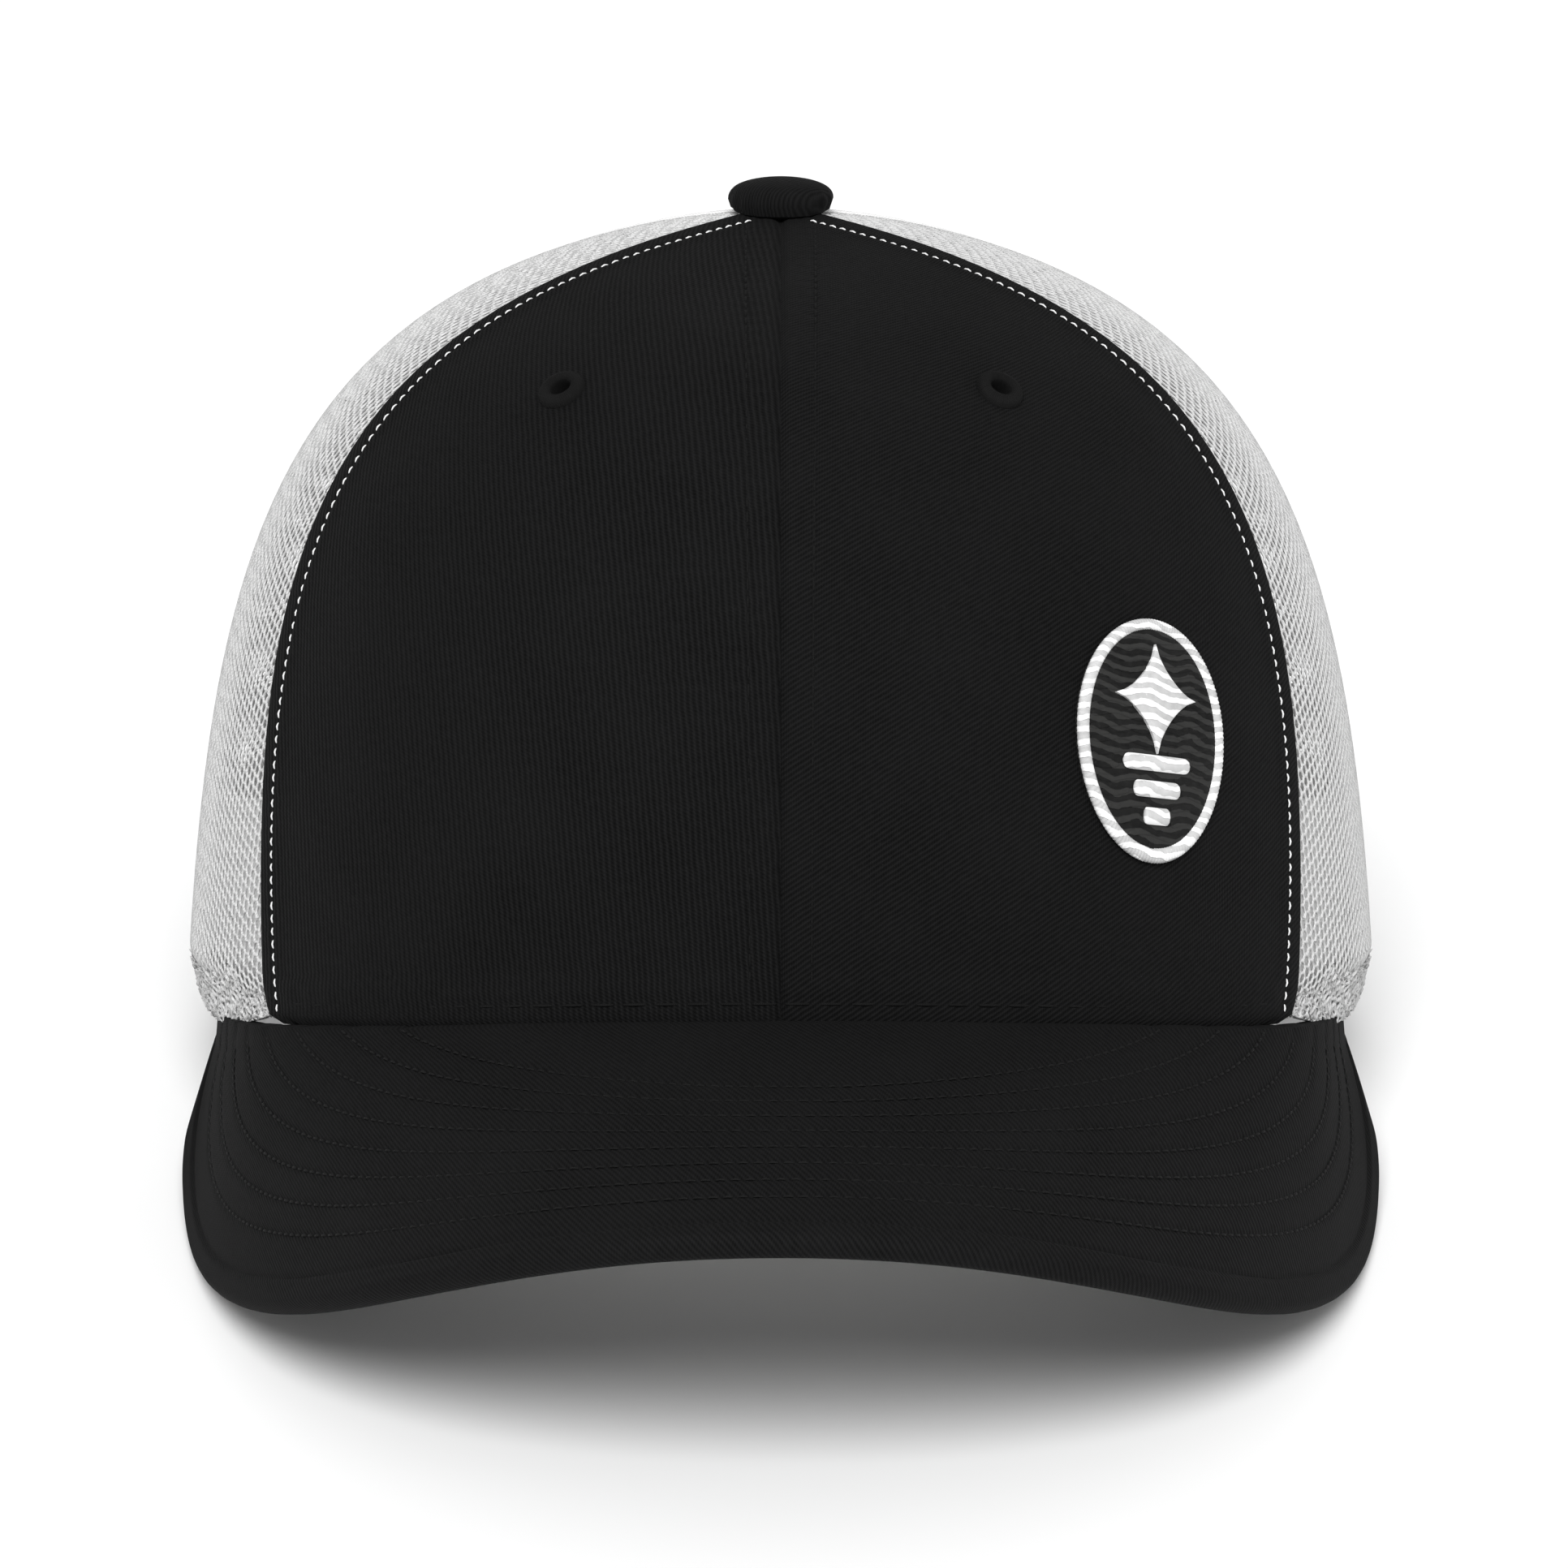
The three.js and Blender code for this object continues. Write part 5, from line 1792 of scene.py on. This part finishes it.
    def build(self) -> None:
        """Makes and dresses the badge."""
        self.bench.make("badge_ground", self.base(), BADGE_GREY, CREASE, ["badge_patch"])
        self.bench.make("badge_border", self.rim(), BADGE_WHITE, CREASE)
        self.bench.make("badge_rows", self.rows(), BADGE_GREY, CREASE)
        self.bench.make("badge_emblem", self.emblem(), BADGE_WHITE, CREASE)


@dataclass
class TopButton:
    """Cloth-covered button on the apex, with its metal shell and tack."""

    bench: Bench
    radius: float = 7.85
    height: float = 4.6
    wall: float = 0.6
    rim: float = 1.6
    slump: float = 1.5

    def cover(self) -> Shape:
        """Dome of cloth pulled over the shell and gathered underneath."""

        def dome(radius: float, top: float) -> list[tuple[float, float]]:
            """Profile from the rim to the top."""
            angles = np.linspace(0, math.pi / 2, 16)
            return [(radius * math.cos(a), self.rim + (top - self.rim) * math.sin(a) ** 0.85)
                    for a in angles]

        outer = dome(self.radius, self.height)
        inner = dome(self.radius - self.wall, self.height - self.wall)[::-1]
        profile = [(self.radius - 2.4, 0.35), (self.radius - 1.1, 0.15),
                   (self.radius - 0.35, 0.6), *outer, *inner, (self.radius - 2.4, 0.9)]
        made = spun([(max(r, 0.05), z) for r, z in profile], 96)
        x, y, z = made.points.T
        angle, reach = np.arctan2(y, x), np.hypot(x, y)
        gather = 0.10 * np.sin(angle * 18) * smooth(5.5, 7.8, reach) * (1 - smooth(1.5, 4.2, z))
        made.points[:, :2] *= (1 + gather / np.maximum(reach, 1.0))[:, None]
        front = smooth(-0.4, 1.0, -y / self.radius) * smooth(1.5, 7.0, reach)
        made.points[:, 2] -= self.slump * front * (1 - smooth(0.6, 3.6, z))
        made.cloth = np.stack([x, y], -1) * (1 + 0.35 * smooth(4, 8, reach))[:, None]
        made.wear = 0.5 * smooth(3.8, 5.2, z)
        return placed(made, CROWN.point(0.0, 1.0), *np.eye(3))

    def build(self) -> None:
        """Makes the cover and dresses the metal parts."""
        self.bench.make("button_cloth", self.cover(), BUTTON_TWILL, Body.CROWN,
                        ["button_cover"])
        for node in ("button_shell", "button_tack"):
            self.bench.dress(node, NICKEL)


@dataclass
class Lining:
    """What is sewn inside the crown: sweatband, seam tapes and labels."""

    bench: Bench
    band_bottom: float = 0.6
    band_height: float = 32.0
    band_end: float = 51.0
    band_faces: tuple[float, float] = (-3.45, -4.85)
    row_up: float = 29.5
    tape_half: float = 6.0
    tape_end: float = 11.0
    tape_row: float = 4.3
    tape_thickness: float = 0.6
    label_thickness: float = 0.28
    front_tape_face: float = -2.6
    net_tape_face: float = -1.3

    BAND_ROW = Stitch(2.2, 3.0, 0.4, 0.12, 0.04)

    def band(self) -> Shape:
        """Sweatband: a soft doubled strip with rounded edges."""
        end = math.pi - self.band_end / CROWN.arc_per_radian
        u = np.linspace(-end, end, 300)[:, None]
        angle = np.linspace(0, TURN, 36, endpoint=False)[None, :]
        rise = 0.5 - 0.5 * np.cos(angle)
        inside = np.sin(angle) < 0
        half = abs(self.band_faces[1] - self.band_faces[0]) / 2
        middle = sum(self.band_faces) / 2
        profile = np.sign(np.sin(angle)) * np.abs(np.sin(angle)) ** 0.35
        height = self.band_bottom + rise * self.band_height
        length = u * 88
        pucker = 0.12 * np.sin(length / 2.6) * bell(height - self.row_up, 2.5) * inside
        groove = 0.35 * bell(height - self.row_up, 0.7) * inside
        soft = 0.25 * np.sin(length / 19 + 1.3) * np.sin(rise * math.pi) * inside
        offset = middle + half * profile + groove - pucker + soft
        t = ARCS.level(u, height + 0 * u)
        rings = CROWN.on(u + 0 * angle, t, offset + 0 * u)
        cloth = np.stack(np.broadcast_arrays(length, height), -1)
        return loft(rings, cloth)

    def band_row(self) -> Shape:
        """Stitches along the band's upper edge."""
        end = math.pi - (self.band_end + 2) / CROWN.arc_per_radian
        u = np.linspace(-end, end, 1500)
        t = ARCS.level(u, self.row_up + 0.1)
        points = CROWN.on(u, t, self.band_faces[1] + 0.22 + 0 * u)
        return self.BAND_ROW.row(points, -CROWN.normal(u, t))

    def tape(self, seam: Line, face: float, mirror: int, start: float) -> Shape:
        """Tape over one seam, with a slight crown and two sunk rows."""
        low = float(ARCS.level(seam(0.1), start))
        high = float(CROWN.level_at_radius(float(seam(1.0)), self.tape_end))
        t = np.linspace(low, high, 160)[:, None]
        x = np.linspace(-self.tape_half, self.tape_half, 33)[None, :]
        u = seam(t) + x / CROWN.radius(seam(t) + 0 * x, t + 0 * x)
        height = ARCS.arc(seam(t), t)
        rows = 0.22 * (bell(x - self.tape_row, 0.5) + bell(x + self.tape_row, 0.5))
        edge = 0.18 * smooth(self.tape_half - 0.8, self.tape_half, np.abs(x))
        soft = 0.08 * np.sin(height / 3.1) * bell(np.abs(x) - self.tape_row, 1.4)
        inner = face - self.tape_thickness + rows + edge + soft
        t = t + 0 * x
        cloth = np.stack(np.broadcast_arrays(x, height), -1)
        return shell(CROWN.on(mirror * u, t, face + 0 * x + 0 * t),
                     CROWN.on(mirror * u, t, inner + 0 * t), cloth)

    def label(self, patch: Patch, half_width: float, half_height: float, face: float) -> Shape:
        """Blank woven label with its edges folded under."""
        x = np.linspace(-half_width, half_width, 40)[None, :]
        y = np.linspace(-half_height, half_height, 40)[:, None]
        near = np.minimum(half_width - np.abs(x), half_height - np.abs(y))
        lift = 0.12 * (1 - smooth(0, 1.4, near)) + 0.1 * np.sin(x / 6 + y / 9)
        x, y = np.broadcast_arrays(x, y)
        cloth = np.stack([x, y], -1)
        under = face - self.label_thickness + lift
        return shell(patch.on(x, y, face + lift), patch.on(x, y, under), cloth)

    def build(self) -> None:
        """Makes and dresses the lining."""
        make = self.bench.make
        band = make("sweatband_cloth", self.band(), SWEAT_CLOTH, CREASE, ["sweatband"])
        make("sweatband_stitch", self.band_row(), WHITE_STITCH, CREASE)
        top = self.band_bottom + self.band_height + 0.8
        front, net = self.front_tape_face, self.net_tape_face
        seams = [("front_seam_tape", CROWN.front_centre, front, LEFT, top)]
        for hand, mirror in SIDES:
            seams.append((f"front_side_seam_tape_{hand}", CROWN.front_side, front, mirror, top))
            seams.append((f"side_back_seam_tape_{hand}", CROWN.side_back, net, mirror, top))
        seams.append(("back_seam_tape", CROWN.back_centre, net, LEFT, 64.8))
        for node, seam, face, mirror, start in seams:
            make(f"{node}_cloth", self.tape(seam, face, mirror, start), INNER_TAPE, CREASE, [node])
        main_place = Patch(0.0, float(ARCS.level(0.0, 18.0)))
        care_place = Patch(88.0, float(ARCS.level(math.radians(88), 27.0)))
        make("main_label_cloth", self.label(main_place, 17, 8, -5.5), LABEL_SATIN, CREASE,
             ["main_label"])
        care = make("care_label_cloth", self.label(care_place, 9, 15, -5.6), LABEL_SATIN,
                    Body.CROWN, ["care_label"])


# ------------------------------------------------------------------ the back opening


@dataclass
class BackOpening:
    """Binding round the arch, and the two straps that snap across it."""

    bench: Bench
    binding_width: float = 9.0
    binding_sink: float = 0.16
    width: float = 19.0
    bottom: float = 3.5
    thickness: float = 1.3
    recess: float = 0.16
    root: float = 46.4
    bend_from: float = 1.5
    bend_to: float = -2.5
    tab_end: float = 61.0
    tab_face: float = -2.4
    tab_thickness: float = 0.7
    pitch: float = 9.0
    count: int = 7
    engaged: int = 4
    tip_margin: float = 6.0
    hole_radius: float = 2.8
    outer_face: float = -0.25
    inner_face: float = -2.0
    root_face: float = -3.0
    ramp_start: float = 3.5
    ramp_end: float = 17.0

    BINDING_ROW = Stitch(1.9, 2.6, 0.42, 0.14, 0.05)

    def arch(self, angle: Array, beyond: Array) -> tuple[Array, Array]:
        """Azimuth and level of points round the arch's edge, `beyond` millimetres outside."""
        power = 2 / ARCH_POWER
        cos, sin = np.cos(angle), np.sin(angle)
        arc = (ARCH_WIDTH + beyond) * np.sign(cos) * np.abs(cos) ** power
        height = (ARCH_HEIGHT + beyond) * np.abs(sin) ** power
        u = math.pi - arc / CROWN.arc_per_radian
        return u, ARCS.level(np.where(u > math.pi, TURN - u, u), height)

    def binding(self) -> Shape:
        """Tape folded over the net's cut edge."""
        wide = self.binding_width
        outline = [(wide, 0.95), (wide - 1.2, 1.05), (wide * 0.5, 0.98), (1.6, 1.0), (0.6, 1.05),
                   (-0.4, 0.8), (-0.95, 0.2), (-1.05, -0.5), (-0.95, -1.3), (-0.4, -1.85),
                   (0.6, -2.05), (wide * 0.5, -2.05), (wide, -2.0),
                   (wide, -1.5), (0.4, -1.45), (-0.35, -0.9), (-0.35, -0.1), (0.4, 0.4),
                   (wide, 0.45)]
        w, off = (np.array(v)[None, :] for v in zip(*outline))
        angle = np.linspace(0, math.pi, 181)[:, None]
        u, t = self.arch(angle, w)
        length = angle * 55
        row = bell(w - 1.7, 0.5) + bell(w - wide + 1.4, 0.5)
        sink = self.binding_sink * row * np.sign(off) * (np.abs(off) > 0.5)
        pucker = 0.06 * np.sin(length / 0.5) * bell(w - 4.5, 4) * np.sign(off)
        rings = CROWN.on(u, t, off - sink + pucker + 0 * angle)
        cloth = np.stack(np.broadcast_arrays(length, w + 12 * (off < -1)), -1)
        return loft(rings, cloth)

    def binding_row(self, beyond: float, outside: bool) -> Shape:
        """Stitches along the binding."""
        angle = np.linspace(0.03, math.pi - 0.03, 900)
        u, t = self.arch(angle, np.full_like(angle, beyond))
        face = 0.95 - self.binding_sink if outside else -2.05 + self.binding_sink
        points, normals = along_crown(u, t, face)
        return self.BINDING_ROW.row(points, normals if outside else -normals)

    def strap_point(self, arc: Array, z: Array, offset: Array) -> Array:
        """Point of a strap: round from centre back, height, and offset from the wall."""
        u = math.pi - arc / CROWN.arc_per_radian
        outwards = unit(CROWN.normal(u, 0.05 + 0 * u) * LEVEL)
        p = CROWN.point(u, 0 * u) + outwards * offset[..., None]
        p[..., 2] = z
        return p

    def face(self, distance: Array, running: float) -> Array:
        """Offset of a strap's outer face, by distance from its root."""
        ramp = smooth(self.ramp_start, self.ramp_end, distance)
        tab = lerp(self.tab_face, self.root_face, smooth(-6.0, 0.0, distance))
        return lerp(tab, running, ramp)

    def tip(self) -> float:
        """How far a strap reaches past centre back."""
        return self.pitch * (self.engaged - 1) / 2 + self.tip_margin

    def strap(self, side: int, running: float) -> Shape:
        """One strap from its sewn end to its rounded tip."""
        half = self.width / 2
        length = self.root + self.tip()
        straight = np.linspace(self.root - self.tab_end, length - half, 90)
        end = length - half + half * np.sin(np.linspace(0, 1, 16)[1:] * math.pi / 2)
        distance = np.concatenate([straight, end])[:, None]
        past = np.clip((distance - (length - half)) / half, 0, 1)
        reach = half * np.sqrt(np.maximum(1 - past**2, 0.004))
        thick = lerp(self.tab_thickness, self.thickness, smooth(-3.0, 0.5, distance))
        turn = np.linspace(0, TURN, 36, endpoint=False)[None, :]
        across = np.sign(np.cos(turn)) * np.abs(np.cos(turn)) ** 0.55
        depth = np.sign(np.sin(turn)) * np.abs(np.sin(turn)) ** 0.3
        z = self.bottom + half + reach * across
        offset = self.face(distance, running) - thick / 2 + depth * thick / 2
        recess = self.recess * (1 - smooth(half - 3.0, half - 2.2, np.abs(z - self.bottom - half)))
        recess = recess * smooth(2.0, 4.0, distance)
        recess = recess * (1 - smooth(length - 6, length - 4, distance))
        offset = offset - recess * (np.sin(turn) > 0.2)
        arc = side * (self.root - distance) + 0 * turn
        rings = self.strap_point(arc, z, offset)
        return loft(rings, np.stack([arc, z], -1))

    def snaps(self, side: int) -> Array:
        """Places of a strap's snaps, round from centre back."""
        first = self.pitch * (self.engaged - 1) / 2
        return side * (np.arange(self.count) * self.pitch - first)

    def at_snap(self, shape: Shape, arc: float, offset: float) -> Shape:
        """A shape drawn about +Z set at a snap, pointing outwards."""
        place = self.strap_point(
            np.array([arc]), np.array([self.bottom + self.width / 2]), np.array([offset]))[0]
        u = math.pi - arc / CROWN.arc_per_radian
        outwards = unit(CROWN.normal(u, 0.05) * LEVEL)
        up = UP
        return placed(shape, place, up, np.cross(outwards, up), outwards)

    def with_holes(self, blank: Shape, cutters: Shape) -> Shape:
        """The blank with the cutters taken out of it."""
        objects = []
        for name, shape in (("blank", blank), ("cutters", cutters)):
            mesh = bpy.data.meshes.new(name)
            faces = [face.tolist() for group in shape.faces for face in group]
            mesh.from_pydata(shape.points.tolist(), [], faces)
            objects.append(bpy.data.objects.new(name, mesh))
            bpy.context.scene.collection.objects.link(objects[-1])
        body, tool = objects
        cut = body.modifiers.new("holes", "BOOLEAN")
        cut.operation, cut.solver, cut.object = "DIFFERENCE", "EXACT", tool
        bpy.context.view_layer.update()
        result = body.evaluated_get(bpy.context.evaluated_depsgraph_get()).to_mesh()
        result.calc_loop_triangles()
        points = np.array([v.co for v in result.vertices], float)
        triangles = np.array([t.vertices for t in result.loop_triangles], int)
        for item in objects:
            bpy.data.objects.remove(item)
        return Shape.of(points, [triangles], points[:, [0, 2]])

    def hole_strap(self) -> Shape:
        """Strap with a row of round holes, each with a low raised rim."""
        blank = self.strap(LEFT, self.outer_face)
        drill = spun([(0.01, -4), (self.hole_radius, -4), (self.hole_radius, 4), (0.01, 4)], 32)
        arcs = self.snaps(LEFT)
        cut = self.with_holes(blank, joined([self.at_snap(drill, a, -1.5) for a in arcs]))
        r = self.hole_radius
        rim = spun([(r - 0.02, -0.5), (r - 0.02, 0.0), (r + 0.15, 0.14), (r + 0.55, 0.14),
                    (r + 0.85, -0.16), (r + 0.85, -0.5)], 32)
        root = self.root
        rims = [self.at_snap(rim, a, float(self.face(np.array(root - a), self.outer_face)) - 0.05)
                for a in arcs if root - a > 6]
        return joined([cut, *rims])

    def peg_strap(self) -> Shape:
        """Strap with a row of round-headed pegs."""
        blank = self.strap(RIGHT, self.inner_face)
        head = [(0.02, -0.8), (2.25, -0.8), (2.25, 0.1), (1.85, 0.5), (1.85, 0.9), (2.0, 1.15),
                (1.9, 1.45), (1.4, 1.66), (0.7, 1.7), (0.02, 1.7)]
        peg = spun(head, 28)
        pegs = []
        for arc in self.snaps(RIGHT):
            face = float(self.face(np.array(self.root + arc), self.inner_face))
            pegs.append(self.at_snap(peg, arc, face))
        return joined([blank, *pegs])

    def build(self) -> None:
        """Makes and dresses the binding and the straps."""
        make = self.bench.make
        make("arch_binding_tape", self.binding(), BINDING_TAPE, Body.CROWN, ["arch_binding"])
        for name, beyond in (("edge", 1.7), ("far", self.binding_width - 1.4)):
            for face, outside in (("out", True), ("in", False)):
                make(f"binding_stitch_{name}_{face}", self.binding_row(beyond, outside),
                     WHITE_STITCH, Body.CROWN)
        middle, face = np.array([self.bottom + self.width / 2]), np.array([self.root_face])
        straps = ((Body.HOLE_STRAP, LEFT, self.hole_strap()),
                  (Body.PEG_STRAP, RIGHT, self.peg_strap()))
        for body, side, shape in straps:
            start, end = (
                PLACING.point(*self.strap_point(np.array([side * arc]), middle, face)[0])
                for arc in (self.root + self.bend_from, self.root + self.bend_to)
            )
            make(f"{body.value}_moulding", shape, STRAP_PLASTIC, Bend(body, start, end),
                 [body.value, f"{body.value}_tab"], sharp=35)


# ------------------------------------------------------------------ studio


@dataclass
class Studio:
    """Pale floor, soft lights and the camera."""

    target: tuple[float, float, float] = (0.0, 0.0, 60.0)
    elevation: float = 7.5
    distance: float = 1150.0
    focal_per_width: float = 4.8512
    sensor: float = 36.0
    drop: float = 1.477
    aside: float = 0.0245
    floor_size: float = 12.0
    ambient: float = 0.5

    def floor(self) -> None:
        """Plain pale floor."""
        half = self.floor_size / 2
        mesh = bpy.data.meshes.new("floor")
        corners = [(-half, -half, 0), (half, -half, 0), (half, half, 0), (-half, half, 0)]
        mesh.from_pydata(corners, [], [(0, 1, 2, 3)])
        plane = bpy.data.objects.new("floor", mesh)
        bpy.context.scene.collection.objects.link(plane)
        paper = bpy.data.materials.new("floor_paper")
        paper.use_nodes = True
        shader = paper.node_tree.nodes["Principled BSDF"]
        shader.inputs["Base Color"].default_value = (0.9, 0.9, 0.9, 1.0)
        shader.inputs["Roughness"].default_value = 0.9
        shader.inputs["Specular IOR Level"].default_value = 0.1
        mesh.materials.append(paper)

    def light(self, name: str, place: Sequence[float], spread: float, power: float) -> None:
        """Soft light from one direction, `spread` degrees wide."""
        lamp = bpy.data.lights.new(name, "SUN")
        lamp.angle, lamp.energy = math.radians(spread), power
        holder = bpy.data.objects.new(name, lamp)
        holder.location = place
        aim = Vector((0.0, 0.0, 0.06)) - Vector(place)
        holder.rotation_euler = aim.to_track_quat("-Z", "Y").to_euler()
        bpy.context.scene.collection.objects.link(holder)

    def surroundings(self) -> None:
        """Even white surroundings."""
        world = bpy.data.worlds.new("studio")
        world.use_nodes = True
        wiring = Wiring(world.node_tree)
        seen = wiring.node("ShaderNodeLightPath").outputs["Is Camera Ray"]
        background = world.node_tree.nodes["Background"]
        background.inputs["Color"].default_value = (1, 1, 1, 1)
        wiring.feed(
            background.inputs["Strength"], wiring.ramp(seen, 0.0, 1.0, self.ambient, 1.0))
        bpy.context.scene.world = world
        bpy.context.scene.view_settings.view_transform = "Standard"

    def camera(self) -> None:
        """Camera in front of the cap, slightly above it."""
        raised = math.radians(self.elevation)
        away = np.array([0.0, -math.cos(raised), math.sin(raised)]) * self.distance
        target = PLACING.point(*self.target)
        eye = PLACING.point(*(np.array(self.target) + away))
        lens = bpy.data.cameras.new("camera")
        lens.sensor_width = self.sensor
        lens.lens = self.focal_per_width * self.sensor
        lens.clip_start, lens.clip_end = 0.05, 20.0
        holder = bpy.data.objects.new("camera", lens)
        holder.location = eye
        aim = (target - eye).to_track_quat("-Z", "Y")
        holder.rotation_mode = "QUATERNION"
        pitch = Quaternion((1, 0, 0), -math.radians(self.drop))
        yaw = Quaternion((0, 1, 0), -math.radians(self.aside))
        holder.rotation_quaternion = aim @ pitch @ yaw
        bpy.context.scene.collection.objects.link(holder)
        bpy.context.scene.camera = holder

    def build(self) -> None:
        """Sets the whole studio up."""
        self.floor()
        self.surroundings()
        self.light("key", (-0.1, -1.35, 1.5), spread=32.0, power=3.0)
        self.light("fill", (0.7, -0.9, 0.8), spread=60.0, power=0.3)
        self.camera()


def main() -> None:
    """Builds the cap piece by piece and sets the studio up."""
    logging.basicConfig(level=logging.INFO, format="%(name)s %(message)s")
    bench = Bench()
    for part in (FrontPanels, NetPanels, Visor, Badge, TopButton, Lining, BackOpening):
        part(bench).build()
    Studio().build()


if __name__ == "__main__":
    main()
